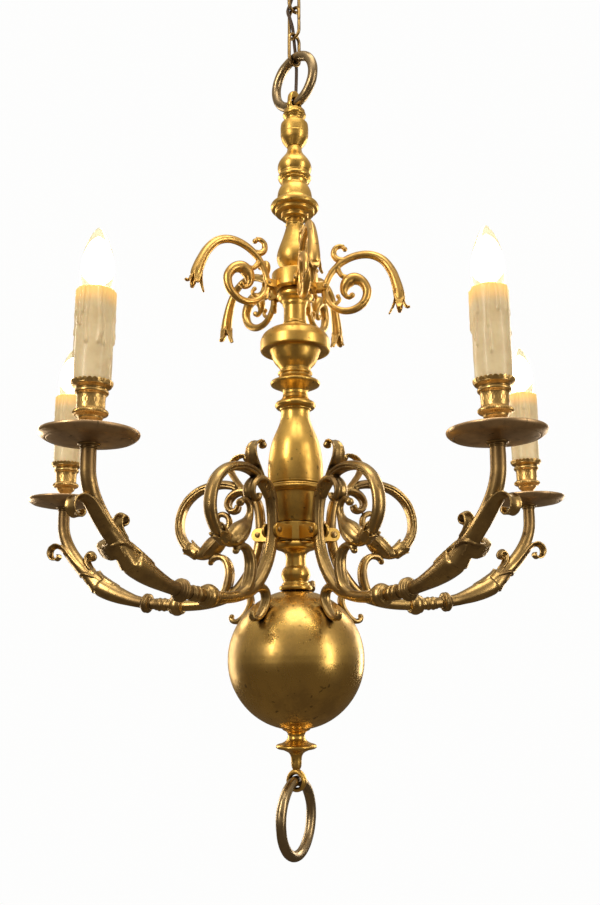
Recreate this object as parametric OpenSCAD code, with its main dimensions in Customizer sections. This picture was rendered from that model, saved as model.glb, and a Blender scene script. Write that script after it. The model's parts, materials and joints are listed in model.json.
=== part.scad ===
// Turned brass chandelier with five candle arms, five small scrolls above them and a ball below.
// It hangs from a ceiling: the origin is on the ceiling, in the middle of the fixing bar, and +Z is up.
// The front is -Y. Heights inside a module are measured from the plane of the drip pans' rims.

/* [Suspension] */
// Depth of the canopy below the ceiling
canopy_h = 42; // [40:1:46]
// Radius of the canopy at the ceiling
canopy_r = 55; // [53:1:60]
// Thickness of the wire of the chain links and the canopy loop
wire_d = 5; // [4:0.5:5]
// Radius of a link's round end, on the middle of its wire
link_bend_r = 10; // [10:0.5:11]
// Length of a link over all
link_len = 55; // [52:1:58]
// Gap left between links that hook into each other
hang_gap = 0.5; // [0.4:0.1:0.8]
// Radius of the suspension ring, on the middle of its tube
top_ring_r = 37.5; // [36:0.5:40]
// Radius of the suspension ring's tube
top_ring_tube = 7; // [6.5:0.5:7]
// Radius of the pull ring, on the middle of its tube
pull_ring_r = 42; // [38:1:44]
// Radius of the pull ring's tube
pull_ring_tube = 6.3; // [5:0.1:6.3]
// Thickness of the supply cord
cord_d = 5; // [4:0.5:5]

/* [Column] */
// Radius of the ball
ball_r = 85; // [80:1:88]
// Radius of the threaded rod that holds the column together
rod_r = 5; // [4:0.5:5]
// Radius of the band that carries the arms
lower_hub_r = 25.6; // [24:0.2:26]
// Radius of the band that carries the scrolls
upper_hub_r = 29.8; // [28:0.2:30]

/* [Arms] */
// Distance from the axis to each candle
arm_reach = 343; // [330:1:360]
// Angle of the first arm from the front, seen from above
arm_start = 36; // [30:1:42]
// Angle of the first scroll from the front
scroll_start = 10; // [6:1:14]
// Radius of a drip pan
pan_r = 50; // [46:1:54]
// Length of a candle sleeve
sleeve_h = 99; // [90:1:105]
// Radius of a candle sleeve
sleeve_r = 19.5; // [19:0.1:20]

/* [Hidden] */
$fn = 64;
ARMS = [1, 2, 3, 4, 5];

// Heights where one hanging piece hooks into the next: loop, links, suspension ring, lug.
wire_r = wire_d / 2;
loop_neck = 8;
hook_1 = -(canopy_h + loop_neck + 2 * link_bend_r + 0.5);
hook_step = link_len - wire_d - wire_d - hang_gap;
hook_2 = hook_1 - hook_step;
hook_3 = hook_2 - hook_step;
hook_4 = hook_3 - hook_step;
ring_z = hook_4 + wire_r + top_ring_tube + hang_gap - top_ring_r;
lug_z = ring_z - top_ring_r;
// Height of the lug's bore above the drip pans, and the pans' own height in the row frame
lug_over_pans = 558;
pan_z = lug_z - lug_over_pans;
// Height of the pull ring's bore below the drip pans
eye_z = -358;
ball_z = -215;
// The chain's two planes lie at 45 degrees to the front; the suspension ring hangs in the first of them
chain_turn = -45;
pull_turn = 65;
bore_gap = 0.2;
brass = [0.79, 0.62, 0.28];
bronze = [0.55, 0.42, 0.22];
ivory = [0.93, 0.89, 0.78];
cord_brown = [0.30, 0.20, 0.14];

// Where the supply cord runs: [along the first chain plane, along the second, height]
CORD_ROUTE = [
    [8, -13, -49], [7.5, -11, -58], [6.5, -7.5, -70], [3.5, -5, -82], [0, -4, -93], [-3.5, -5, -104],
    [-6.5, -6.5, -115], [-5, -3.5, -126], [-4, 0, -137], [-5, 3.5, -148], [-6.5, 6.5, -160],
    [-6.5, 8.5, -175], [-6.2, 10, -190], [-6.2, 10.6, -204], [-6.5, 10.6, -220], [-7.2, 10.4, -240],
    [-7.6, 9.8, -262], [-7.6, 9.8, -276]];
cord_end = CORD_ROUTE[len(CORD_ROUTE) - 1];

// Middle of an arm's tube: [distance from the axis, height, radius]
ARM_TUBE = [
    [343, -14, 8], [343, -34, 8], [339, -52, 8], [330, -68, 8.5], [312, -88, 9.5], [290, -107, 10],
    [262, -126, 8.5], [236, -136, 7.5], [212, -142, 7.5], [186, -145, 7.5], [160, -146.5, 7.5],
    [128, -146, 7], [100, -140, 7], [78, -127, 7]];
ARM_STEM = [
    [98, -140, 6.5], [78, -127, 6.5], [62, -106, 6.5], [52, -82, 6.5], [47, -58, 6.5], [46, -38, 6.5], [50, -20, 6.5],
    [58, -7, 6.5], [70, -1, 6.5], [82, -5, 6], [88, -15, 6], [84, -24, 5]];
ARM_VOLUTE = [
    [64, -12, 5], [80, 1, 6.5], [98, 8, 6.5], [118, 9, 6.5], [140, 2, 6.5], [157, -14, 6.5], [164, -36, 6.5],
    [159, -58, 6.5], [146, -74, 6.5], [126, -81, 7], [106, -78, 10], [98, -64, 10], [95, -46, 5],
    [98, -33, 4.5], [106, -28, 4], [111, -35, 4.5]];
ARM_CURL = [[104, -141, 6], [92, -126, 5.5], [87, -110, 5], [91, -96, 4.5], [101, -89, 4], [111, -92, 4.5]];
ARM_HOOK = [[84, -134, 6], [72, -134, 5.5], [66, -143, 5], [68, -154, 4.5], [76, -162, 4.5], [88, -163, 5]];
ARM_LEAF_PRONG = [[300, -98, 6], [322, -76, 5.5], [338, -70, 4.5], [352, -70, 3.5], [361, -78, 3.5]];
ARM_TOP_LEAF = [[66, -4, 4], [82, 12, 5], [92, 26, 5], [92, 38, 4.5], [85, 47, 4], [75, 44, 3]];

// Middle of a scroll's wire: the outer arch, the lower volute, the top curl and the inner leaf
SCROLL_ARCH = [
    [42, 262, 4], [43, 277, 4], [50, 294, 4], [64, 309, 4], [84, 318, 4], [104, 318, 4], [122, 307, 4.5],
    [133, 288, 5], [137, 268, 6.5], [139, 254, 8], [139, 246, 6.5]];
SCROLL_VOLUTE = [
    [42, 277, 4], [43, 262, 4], [51, 247, 4], [65, 240, 4], [80, 241, 4], [93, 250, 4.5], [98, 266, 5],
    [91, 281, 6], [77, 285, 7], [67, 276, 6], [67, 262, 3.5], [75, 258, 3]];
SCROLL_CURL = [[62, 306, 4], [55, 316, 3.5], [54, 327, 3.2], [61, 333, 3], [68, 328, 3]];
SCROLL_LEAF = [[66, 307, 3.5], [62, 299, 3], [66, 288, 3]];
SCROLL_PETALS = [[[139, 248, 5], [145, 238, 3.5], [150, 237, 2.5]], [[137, 248, 5], [131, 236, 3], [124, 229, 2]]];

// Sweeping: Catmull-Rom between the points that are listed, then one polyhedron along them.
function between(a, b, c, d, t) =
    0.5 * (2 * b + (c - a) * t + (2 * a - 5 * b + 4 * c - d) * t * t + (3 * b - a - 3 * c + d) * t * t * t);
function smooth(p, steps) = concat(
    [for (i = [0 : len(p) - 2], j = [0 : steps - 1])
        between(p[max(i - 1, 0)], p[i], p[i + 1], p[min(i + 2, len(p) - 1)], j / steps)],
    [p[len(p) - 1]]);
function unit(v) = v / norm(v);
function xyz(p) = [p[0], p[1], p[2]];
function heading(p, i) = unit(xyz(p[min(i + 1, len(p) - 1)]) - xyz(p[max(i - 1, 0)]));
function ring_points(p, i, side, sides, wide) =
    let (t = heading(p, i), u = unit(cross(side, t)), v = cross(t, u))
    [for (k = [0 : sides - 1]) xyz(p[i]) + p[i][3] * (cos(360 * k / sides) * u + wide * sin(360 * k / sides) * v)];
// Path points are [x, y, z, radius]. side is a direction that the path never runs along.
module tube(path, side, sides = 8, wide = 1) {
    n = len(path);
    skin = [for (i = [0 : n - 2], k = [0 : sides - 1])
        let (a = i * sides + k, b = i * sides + (k + 1) % sides)
        each [[a, a + sides, b], [b, a + sides, b + sides]]];
    polyhedron(
        points = [for (i = [0 : n - 1]) each ring_points(path, i, side, sides, wide)],
        faces = concat(skin, [[for (k = [0 : sides - 1]) k]], [[for (k = [sides - 1 : -1 : 0]) (n - 1) * sides + k]]));
}
// A branch that lies in the plane of an arm: its points are [distance from the axis, height, radius].
function stretch(r) = r + max(0, r - 100) * (arm_reach - 343) / 243;
function branch_path(points, steps) = [for (p = smooth(points, steps)) [stretch(p[0]), 0, p[1], p[2]]];
module branch(points, steps = 3, sides = 8, wide = 1) {
    tube(branch_path(points, steps), [0, 1, 0], sides, wide);
}
module knob(p, r) {
    translate([stretch(p[0]), 0, p[1]]) hull() sphere(r = r, $fn = 8);
}

// Turning: profiles are [radius, height] lists from the bottom up.
function arc(centre, r, from, to, n = 6) =
    [for (i = [0 : n]) let (a = from + (to - from) * i / n) [centre[0] + r * cos(a), centre[1] + r * sin(a)]];
module turned(profile, bore = rod_r + bore_gap) {
    low = profile[0][1];
    high = profile[len(profile) - 1][1];
    difference() {
        rotate_extrude() polygon(concat([[0, low]], profile, [[0, high]]));
        if (bore > 0) translate([0, 0, low - 1]) cylinder(r = bore, h = high - low + 2);
    }
}
module on_pans() { translate([0, 0, pan_z]) children(); }
module at_azimuth(angle) { rotate([0, 0, angle - 90]) children(); }
module at_candle(k) { on_pans() at_azimuth(arm_start + 72 * (k - 1)) translate([arm_reach, 0, 0]) children(); }
module at_scroll(k) { on_pans() at_azimuth(scroll_start + 72 * (k - 1)) children(); }
module at_arm(k) { on_pans() at_azimuth(arm_start + 72 * (k - 1)) children(); }

// Ceiling fitting
bar_half = 40;
bar_w = 20;
bar_t = 3;
screw_spacing = 60;
screw_hole_r = 2.5;
stem_r = 5;
wall = 1.6;
module ceiling_bar() color("silver") {
    difference() {
        translate([-bar_half, -bar_w / 2, -bar_t]) cube([2 * bar_half, bar_w, bar_t]);
        for (x = [-1, 1] * screw_spacing / 2) translate([x, 0, -bar_t - 1]) cylinder(r = screw_hole_r, h = bar_t + 2);
        translate([0, 0, -bar_t - 1]) cylinder(r = stem_r + bore_gap, h = bar_t + 2);
    }
}
module canopy() color(bronze) {
    difference() {
        rotate_extrude() polygon(concat(
            [[0, -canopy_h], [20, -canopy_h]],
            arc([canopy_r - 18, 18 - canopy_h], 18, -80, 0),
            [[canopy_r, -0.3], [canopy_r - wall, -0.3]],
            arc([canopy_r - 18, 18 - canopy_h], 18 - wall, 0, -80),
            [[20, wall - canopy_h], [0, wall - canopy_h]]));
        translate([0, 0, -canopy_h - 1]) cylinder(r = stem_r + bore_gap, h = wall + 2);
        in_chain(CORD_ROUTE[0]) cylinder(r = grip_r + bore_gap, h = 12);
    }
}
module in_chain(p) {
    rotate([0, 0, chain_turn]) translate([p[0], p[1], p[2]]) children();
}
module canopy_loop() color(bronze) {
    turn_z = -canopy_h - loop_neck - 0.5;
    rotate([0, 0, chain_turn]) {
        translate([0, 0, turn_z - link_bend_r]) rotate([90, 0, 0]) rotate_extrude() translate([link_bend_r, 0]) circle(r = wire_r);
        translate([0, 0, turn_z]) cylinder(r = 4, h = 5);
    }
    translate([0, 0, -canopy_h - 4]) cylinder(r = 6.5, h = 3.8);
    translate([0, 0, -canopy_h - 1]) cylinder(r = stem_r, h = canopy_h - 1);
}
module canopy_nut() color("silver") {
    for (z = [-bar_t - 5.2, wall - canopy_h + 0.2]) translate([0, 0, z]) difference() {
        cylinder(r = 9, h = 5, $fn = 6);
        translate([0, 0, -1]) cylinder(r = stem_r + 0.05, h = 7);
    }
}
grip_r = 4.5;
module cord_grip() color(cord_brown) {
    in_chain(CORD_ROUTE[0]) difference() {
        union() {
            cylinder(r = grip_r, h = 12);
            translate([0, 0, 4]) cylinder(r = grip_r + 1.2, h = 2.8);
        }
        translate([0, 0, -1]) cylinder(r = cord_d / 2 + 0.1, h = 14);
    }
}
module supply_cord() color(cord_brown) {
    // the cord stands straight in its grip and in its bush, at the two ends of the route
    start = CORD_ROUTE[0];
    route = concat(
        [[start[0], start[1], 2 - canopy_h]], smooth(CORD_ROUTE, 2), [[cord_end[0], cord_end[1], lug_z - 17]]);
    rotate([0, 0, chain_turn]) tube([for (p = route) [p[0], p[1], p[2], cord_d / 2]], [1, 0, 0]);
}

// Chain and suspension ring
module link(hook, turn) {
    straight = link_len / 2 - wire_r - link_bend_r;
    middle = hook + wire_d + hang_gap - straight - link_bend_r;
    translate([0, 0, middle]) rotate([0, 0, chain_turn + turn]) rotate([90, 0, 0]) {
        for (s = [0, 180]) rotate([0, 0, s]) {
            translate([0, straight, 0]) rotate_extrude(angle = 180) translate([link_bend_r, 0]) circle(r = wire_r);
            translate([link_bend_r, straight, 0]) rotate([90, 0, 0]) cylinder(r = wire_r, h = 2 * straight);
        }
    }
}
module chain_link_1() color(bronze) link(hook_1, 90);
module chain_link_2() color(bronze) link(hook_2, 0);
module chain_link_3() color(bronze) link(hook_3, 90);
module top_ring() color(brass) {
    translate([0, 0, ring_z]) rotate([0, 0, chain_turn]) rotate([90, 0, 0])
        rotate_extrude() translate([top_ring_r, 0]) circle(r = top_ring_tube);
}

// Column, from the top down
lug_t = 8;
lug_bore_r = 8;
module top_finial() color(brass) on_pans() {
    difference() {
        union() {
            turned(concat(
                [[11, 489.3], [16, 492]], arc([14.5, 508], 5.8, -60, 60), [[17.6, 521], [12.2, 526], [12.2, 531]],
                arc([13, 538.4], 4, -75, 75), [[15.6, 543.4], [16.6, 545], [16, 547]]));
            translate([0, 0, rod_top + 1]) cylinder(r = rod_r + 1, h = 14);
            rotate([0, 0, chain_turn - 90]) rotate([90, 0, 0]) translate([0, 0, -lug_t / 2])
                linear_extrude(lug_t) polygon([
                    [-8, 543], [-11.5, 553], [-11.8, 560], [-9.5, 569], [-5, 578], [0, 584.5],
                    [5, 578], [9.5, 569], [11.8, 560], [11.5, 553], [8, 543]]);
        }
        translate([0, 0, lug_over_pans]) rotate([0, 0, chain_turn]) rotate([0, 90, 0])
            cylinder(r = lug_bore_r, h = 40, center = true);
        in_chain([cord_end[0], cord_end[1], 536]) cylinder(r = bush_r + 0.05, h = 12);
    }
}
bush_r = 3.2;
module cord_bush() color(cord_brown) on_pans() in_chain([cord_end[0], cord_end[1], 536.2]) difference() {
    cylinder(r = bush_r, h = 11.8);
    translate([0, 0, 4.5]) cylinder(r = cord_d / 2 + 0.1, h = 10);
}
module pear_knop() color(brass) on_pans() turned(concat(
    [[17.6, 430.2], [20.5, 433]], arc([18.8, 440.6], 5, -60, 60), [[22.3, 447.5]],
    arc([9.8, 462], 14.6, -50, 55), [[12.5, 482], [10.8, 489.1]]));
module stepped_disc() color(brass) on_pans() turned(concat(
    [[12.2, 377.2], [18.6, 380], [18.6, 385], [27, 388], [27, 391.5]], arc([30.6, 396.6], 2.8, -80, 70),
    [[27, 403.5], [24.5, 410], [23.6, 418], [21, 425], [18.4, 430]]));
module upper_vase() color(brass) on_pans() turned(concat(
    [[17.2, 297.2], [17.6, 302]], arc([15.4, 320.5], 10.6, -68, 35, 7),
    [[21.5, 335], [16.2, 350.5], [13, 362], [12.2, 377]]));
module upper_hub() color(brass) on_pans() {
    turned([[upper_hub_r - 1, 271.2], [upper_hub_r, 272.2], [upper_hub_r, 296], [upper_hub_r - 1, 297]]);
    for (k = ARMS) at_azimuth(scroll_start + 72 * (k - 1)) fork(upper_hub_r, 47, 269.5, 4.4, 2.6, 11, 2.1);
}
// Two cheeks that hold the end of an arm between them: they run from the band at r to the end, about height z
module fork(r, end, z, gap, thick, tall, hole_r) {
    for (s = [-1, 1]) translate([0, s * (gap + thick / 2), z + tall / 2]) rotate([90, 0, 0]) difference() {
        union() {
            translate([r - 3, -tall / 2, -thick / 2]) cube([end - tall / 2 - r + 3, tall, thick]);
            translate([end - tall / 2, 0, -thick / 2]) cylinder(r = tall / 2, h = thick);
        }
        translate([end - tall / 2, 0, -thick]) cylinder(r = hole_r, h = 2 * thick);
    }
}
module hub_sleeve() color(brass) on_pans() turned([
    [15.8, 223.7], [15.8, 252], [17.5, 256], [22.8, 259.5], [24.4, 263], [24.4, 268], [22.5, 271]]);
module broad_disc() color(brass) on_pans() difference() {
    turned(concat(
        [[20.6, 159.2], [27, 162], [31.5, 167.5], [33.4, 175], [33.4, 186], [42, 186], [42, 184.5], [45.4, 184.5]],
        [[46.6, 186], [46.6, 199]], arc([39.6, 199.5], 7, 0, 70, 4), [[36, 210.5], [24, 214], [17.5, 218], [16.2, 223.5]]));
}
module spool() color(brass) on_pans() turned(concat(
    [[16, 125.2], [16, 130], [28, 136.5], [32.4, 139]], [[33.2, 140.8], [32, 142.6], [24, 146], [20.6, 150]],
    arc([20.2, 154.5], 2.8, -70, 80, 5), [[19.8, 159]]));
module baluster() color(brass) on_pans() turned(concat(
    [[34, 3.2], [35.2, 5], [35.6, 10.7], [36, 22], [35.4, 34], [33.9, 46], [31.6, 58], [27.4, 70], [22, 82]],
    [[19, 92], [18.4, 100], [20, 105], [25.2, 107.5], [26.8, 110.5], [26, 114], [19.5, 118], [16.4, 125]]));
module hub_bowl() color(brass) on_pans() turned(concat(
    [[26.2, -45.2], [27.6, -40], [30, -32], [31.6, -22], [32.8, -8], [36.6, -6.5]],
    arc([35.4, -2], 3.2, -60, 60, 4), [[35.5, 2], [34, 3]]));
module lower_hub() color(brass) on_pans() {
    turned([[lower_hub_r - 1, -70], [lower_hub_r, -69], [lower_hub_r, -46.4], [lower_hub_r - 1, -45.4]]);
    for (k = ARMS) at_azimuth(arm_start + 72 * (k - 1)) fork(lower_hub_r, 57, -69, 7.2, 4, 18, 2.6);
}
module ball_neck() color(brass) on_pans() difference() {
    turned(concat(
        [[14, -135], [20.8, -131.5], [21, -127], [18.5, -124], [15.6, -121], [15.4, -118]],
        arc([9.2, -111.5], 9.4, -45, 45, 4), [[13, -101], [12.5, -96], [12.2, -89], [15, -84], [24, -79.5], [26.8, -77]],
        [[26.8, -73], [25, -70.2]]));
    translate([0, 0, ball_z]) sphere(r = ball_r + 0.1);
}
module ball() color(brass) on_pans() translate([0, 0, ball_z]) difference() {
    sphere(r = ball_r, $fn = 128);
    sphere(r = ball_r - wall, $fn = 128);
    cylinder(r = rod_r + bore_gap, h = 3 * ball_r, center = true);
}
eye_bore_r = 7.2;
eye_t = 9;
module bottom_finial() color(brass) on_pans() {
    difference() {
        union() {
            turned(concat(
                [[5, -344], [6.4, -340], [6.4, -333], [8.5, -325], [14, -321.5], [23.4, -320]],
                arc([23.4, -318.2], 1.8, -80, 80, 4), [[16, -314.5], [10.4, -309], [10.1, -304], [16, -299.5]],
                [[17.4, -297], [17.4, -294]]), bore = 0);
            rotate([0, 0, pull_turn - 90]) rotate([90, 0, 0]) translate([0, 0, -eye_t / 2]) linear_extrude(eye_t)
                polygon(concat([[-5, -338], [-9.5, -346]], arc([0, -357.5], 12.8, 155, 385, 14), [[9.5, -346], [5, -338]]));
        }
        translate([0, 0, ball_z]) sphere(r = ball_r + 0.1);
        translate([0, 0, -318]) cylinder(r = rod_r + bore_gap, h = 40);
        translate([0, 0, eye_z]) rotate([0, 0, pull_turn]) rotate([0, 90, 0])
            cylinder(r = eye_bore_r, h = 40, center = true);
    }
}
module pull_ring() color(bronze) on_pans() translate([0, 0, eye_z - pull_ring_r]) rotate([0, 0, pull_turn])
    rotate([90, 0, 0]) rotate_extrude() translate([pull_ring_r, 0]) circle(r = pull_ring_tube);
rod_top = 530;
rod_bottom = -317;
module central_rod() color("silver") on_pans() translate([0, 0, rod_bottom]) cylinder(r = rod_r, h = rod_top - rod_bottom);
// The nuts lock the rod from inside the ball, at its top and its bottom
module rod_nuts() color("silver") on_pans() for (s = [-1, 1]) translate([0, 0, ball_z + s * (ball_r - wall - 3.6)]) difference() {
    translate([0, 0, -2.5]) cylinder(r = 9, h = 5, $fn = 6);
    cylinder(r = rod_r + 0.05, h = 7, center = true);
}
module hub_screws() color(bronze) on_pans() {
    for (k = ARMS) {
        at_azimuth(arm_start + 72 * (k - 1)) screw(48, -60, 11.2, 2.4, 4.5);
        at_azimuth(scroll_start + 72 * (k - 1)) screw(41.5, 275, 7, 1.9, 3.2);
    }
}
// A cross screw through a fork: half is half the width of the fork
module screw(r, z, half, shank_r, head_r) {
    translate([r, 0, z]) rotate([90, 0, 0]) {
        translate([0, 0, -half - 0.5]) cylinder(r = shank_r, h = 2 * half + 0.6);
        translate([0, 0, half + 0.05]) cylinder(r = head_r, h = 2.2);
    }
}

// Arms and scrolls
module arm(k) color(bronze) at_arm(k) {
    difference() {
        union() {
            branch(ARM_TUBE, 2);
            branch(ARM_STEM, 1);
            branch(ARM_VOLUTE, 1);
            branch(ARM_CURL, 1, 6);
            branch(ARM_HOOK, 1, 6);
            branch(ARM_LEAF_PRONG, 1, 6, 1.6);
            branch(ARM_TOP_LEAF, 1, 6, 1.8);
            for (p = [ARM_STEM, ARM_VOLUTE, ARM_CURL, ARM_HOOK, ARM_TOP_LEAF, ARM_LEAF_PRONG]) tip(p);
            for (r = [206, 165]) collar(r);
            translate([arm_reach, 0, -15]) cylinder(r = 9.5, h = 4, $fn = 20);
            translate([arm_reach, 0, -11]) cylinder(r = 11, h = 5.2, $fn = 20);
            translate([arm_reach, 0, -6]) cylinder(r = 4.8, h = 15, $fn = 20);
        }
        translate([48, 20, -60]) rotate([90, 0, 0]) cylinder(r = 2.7, h = 40, $fn = 16);
    }
}
module tip(p) {
    last = p[len(p) - 1];
    knob(last, last[2] * 1.25);
}
module collar(r) {
    translate([stretch(r), 0, r > 180 ? -142.8 : -146.3]) rotate([0, 90, 0]) hull() {
        cylinder(r = 10, h = 7, center = true, $fn = 16);
        cylinder(r = 11.5, h = 3, center = true, $fn = 16);
    }
}
module scroll(k) color(brass) at_scroll(k) {
    difference() {
        union() {
            branch(SCROLL_ARCH, 1, 6);
            branch(SCROLL_VOLUTE, 1, 6);
            branch(SCROLL_CURL, 1, 6);
            branch(SCROLL_LEAF, 1, 6);
            for (p = SCROLL_PETALS) branch(p, 1, 6);
            for (p = concat([SCROLL_CURL, SCROLL_LEAF, SCROLL_VOLUTE], SCROLL_PETALS)) tip(p);
            for (p = [[139, 252, 8], [77, 283, 7], [68, 276, 6]]) knob(p, p[2]);
        }
        translate([41.5, 20, 275]) rotate([90, 0, 0]) cylinder(r = 2.1, h = 40, $fn = 16);
    }
}
for (k = ARMS) {
    arm(k);
    scroll(k);
    drip_pan(k);
    candle_cup(k);
    candle_sleeve(k);
    bulb(k);
}

// Candles
nipple_r = 4.8;
module drip_pan(k) color(bronze) at_candle(k) turned(concat(
    [[17, -5.6], [20, -5.4], [38, -3.4], [pan_r - 5, -1.6], [pan_r - 1, 0.2], [pan_r, 1.6], [pan_r, 3.2]],
    [[pan_r - 1.6, 3.2], [pan_r - 2.2, 1.8], [pan_r - 6, 0.2], [38, -1.6], [20, -3.6], [15, -3.6]]), nipple_r + 0.2);
module candle_cup(k) color(brass) at_candle(k) {
    difference() {
        turned(concat(
            [[10, -3.4], [10.5, -1], [8.5, 1.5], [6.6, 3], [6.6, 9], [8, 11], [6.6, 13], [6.8, 16]],
            arc([12.6, 21], 4.2, -90, 70, 6), [[13.6, 26.5], [13.2, 32], [13.8, 39]],
            arc([12.9, 44], 3.8, -65, 65, 5), [[15, 48.5], [19.3, 50.5], [19.8, 52.5], [19.3, 54]]), nipple_r + 0.2);
        translate([0, 0, 17]) cylinder(r = 11.4, h = 40);
    }
}
sleeve_foot = 54.2;
module candle_sleeve(k) color(ivory) at_candle(k) difference() {
    turned(concat(
        [[sleeve_r, sleeve_foot]], [[sleeve_r, sleeve_foot + sleeve_h - 4]],
        arc([sleeve_r - 4, sleeve_foot + sleeve_h - 4], 4, 15, 80, 4), [[sleeve_r - 5, sleeve_foot + sleeve_h]]), 14.4);
    translate([0, 0, sleeve_foot - 1]) cylinder(r = 16.6, h = sleeve_h - 6);
}
// The lamp's cap turns in the lampholder's bore
cap_r = 6.93;
socket_r = 7;
holder_top = 148;
module lampholders() color([0.2, 0.17, 0.13]) for (k = ARMS) at_candle(k) difference() {
    union() {
        translate([0, 0, 17.2]) cylinder(r = 11.2, h = 100);
        translate([0, 0, 117.2]) cylinder(r = 12.4, h = holder_top - 117.2);
    }
    translate([0, 0, 120]) cylinder(r = socket_r, h = 40);
    translate([0, 0, 10]) cylinder(r = nipple_r + 0.2, h = 20);
}
bulb_z = 178;
module bulb(k) color([1, 0.93, 0.75]) at_candle(k) rotate_extrude() polygon(concat(
    [[0, 121.5], [4, 121.5], [cap_r, 125], [cap_r, holder_top + 0.6], [11, 150.6], [12.4, 153]],
    [[15.4, 162], [17.1, 171], [17.5, bulb_z], [16.8, 187], [14.4, 198], [10.6, 208], [6.4, 216.5], [3.2, 222.5]],
    [[1.2, 225.4], [0, 225.8]]));

ceiling_bar();
canopy();
canopy_loop();
canopy_nut();
cord_grip();
supply_cord();
chain_link_1();
chain_link_2();
chain_link_3();
top_ring();
cord_bush();
top_finial();
pear_knop();
stepped_disc();
upper_vase();
upper_hub();
hub_sleeve();
broad_disc();
spool();
baluster();
hub_bowl();
lower_hub();
ball_neck();
ball();
bottom_finial();
pull_ring();
central_rod();
rod_nuts();
hub_screws();
lampholders();
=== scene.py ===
"""The looks of a turned brass chandelier with candle arms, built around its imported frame.

Shapes are worked out in millimetres and turn into metres when a mesh is made. Heights of the column, the arms
and the scrolls are measured from the middle plane of the drip pans, which is at PAN_Z in the row frame.
"""

import json
import math
import random

import bmesh
import bpy
from mathutils import Matrix, Vector, noise


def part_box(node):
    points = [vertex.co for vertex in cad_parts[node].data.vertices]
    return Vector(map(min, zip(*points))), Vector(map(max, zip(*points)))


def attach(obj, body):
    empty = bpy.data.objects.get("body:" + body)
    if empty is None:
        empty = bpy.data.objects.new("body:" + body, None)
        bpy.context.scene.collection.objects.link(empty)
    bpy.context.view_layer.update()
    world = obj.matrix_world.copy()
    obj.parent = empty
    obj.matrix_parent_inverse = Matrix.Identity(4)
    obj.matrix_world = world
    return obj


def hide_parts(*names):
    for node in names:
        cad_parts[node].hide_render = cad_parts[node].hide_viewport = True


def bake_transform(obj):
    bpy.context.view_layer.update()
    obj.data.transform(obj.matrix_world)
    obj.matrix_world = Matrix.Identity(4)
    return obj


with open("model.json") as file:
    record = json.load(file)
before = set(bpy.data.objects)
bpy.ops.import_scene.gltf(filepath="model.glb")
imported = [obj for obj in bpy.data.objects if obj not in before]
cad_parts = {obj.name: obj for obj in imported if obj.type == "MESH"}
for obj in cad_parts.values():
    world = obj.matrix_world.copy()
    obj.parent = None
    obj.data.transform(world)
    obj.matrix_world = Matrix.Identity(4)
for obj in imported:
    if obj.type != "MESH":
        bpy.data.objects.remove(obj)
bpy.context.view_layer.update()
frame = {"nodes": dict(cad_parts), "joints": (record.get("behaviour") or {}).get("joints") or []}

MM = 0.001
X = Vector((1, 0, 0))
Y = Vector((0, 1, 0))
ARMS = range(1, 6)


# ---- Places that come from the frame ---------------------------------------------------------------------

def middle(node):
    """The middle of a CAD node's box, in millimetres."""
    low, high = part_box(node)
    return (low + high) / 2 / MM


def half_height(node):
    """Half the height of a CAD node's box, in millimetres."""
    low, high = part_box(node)
    return (high.z - low.z) / MM / 2


def hinge_height(joint):
    """The height of a joint in the row frame, in millimetres."""
    return next(j["pos_m"][2] for j in frame["joints"] if j["name"] == joint) / MM


PAN_RIM = 3.2
PAN_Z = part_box("drip_pan_1")[1].z / MM - PAN_RIM
ARM_ANGLES = [math.degrees(math.atan2(middle(f"bulb_{k}").x, -middle(f"bulb_{k}").y)) for k in ARMS]
OTHER_HAND = (1, 2)  # the arms whose cuff rolls away to the other side
FIRST_SCROLL = 10
SCROLL_ANGLES = [FIRST_SCROLL + 360 / len(ARMS) * (k - 1) for k in ARMS]
SCROLL_LIFTS = [0, 0, 1, 0, 9]  # how far each scroll is bent up, in degrees
ARM_PIN = Vector((48, 0, -60))  # the screws of the hubs: (distance from the axis, 0, height)
SCROLL_PIN = Vector((41.5, 0, 275))
CHAIN_TURN = -45
PULL_TURN = 65
BALL_Z = middle("ball").z - PAN_Z
BALL_R = half_height("ball")
PULL_RING_TUBE = 6.3
PULL_RING_R = half_height("pull_ring") - PULL_RING_TUBE
EYE_Z = hinge_height("pull_ring_swing") - PAN_Z
TOP_RING_TUBE = 7
TOP_RING_R = half_height("top_ring") - TOP_RING_TUBE
LUG_Z = hinge_height("column_swing") - PAN_Z
CANOPY_H = -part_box("canopy")[0].z / MM


# ---- Camera, light and floor -----------------------------------------------------------------------------

def shown(obj):
    """Puts an object into the scene."""
    bpy.context.scene.collection.objects.link(obj)
    return obj


def make_camera():
    """Stands below the candles, a little over a metre away, and looks up at them."""
    away, below_pans = 1134.5, 212.6
    turn, yaw, pitch, roll = (math.radians(degrees) for degrees in (0.5, -0.30, 12.9, -0.25))
    data = bpy.data.cameras.new("camera")
    data.sensor_width = 36
    data.lens = 35.5
    data.clip_start = 0.01
    camera = shown(bpy.data.objects.new("camera", data))
    camera.location = Vector((away * math.sin(turn), -away * math.cos(turn), PAN_Z - below_pans)) * MM
    aim = Matrix.Rotation(yaw + turn, 4, "Z") @ Matrix.Rotation(math.radians(90) + pitch, 4, "X")
    camera.rotation_euler = (aim @ Matrix.Rotation(roll, 4, "Z")).to_euler()
    bpy.context.scene.camera = camera


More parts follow.
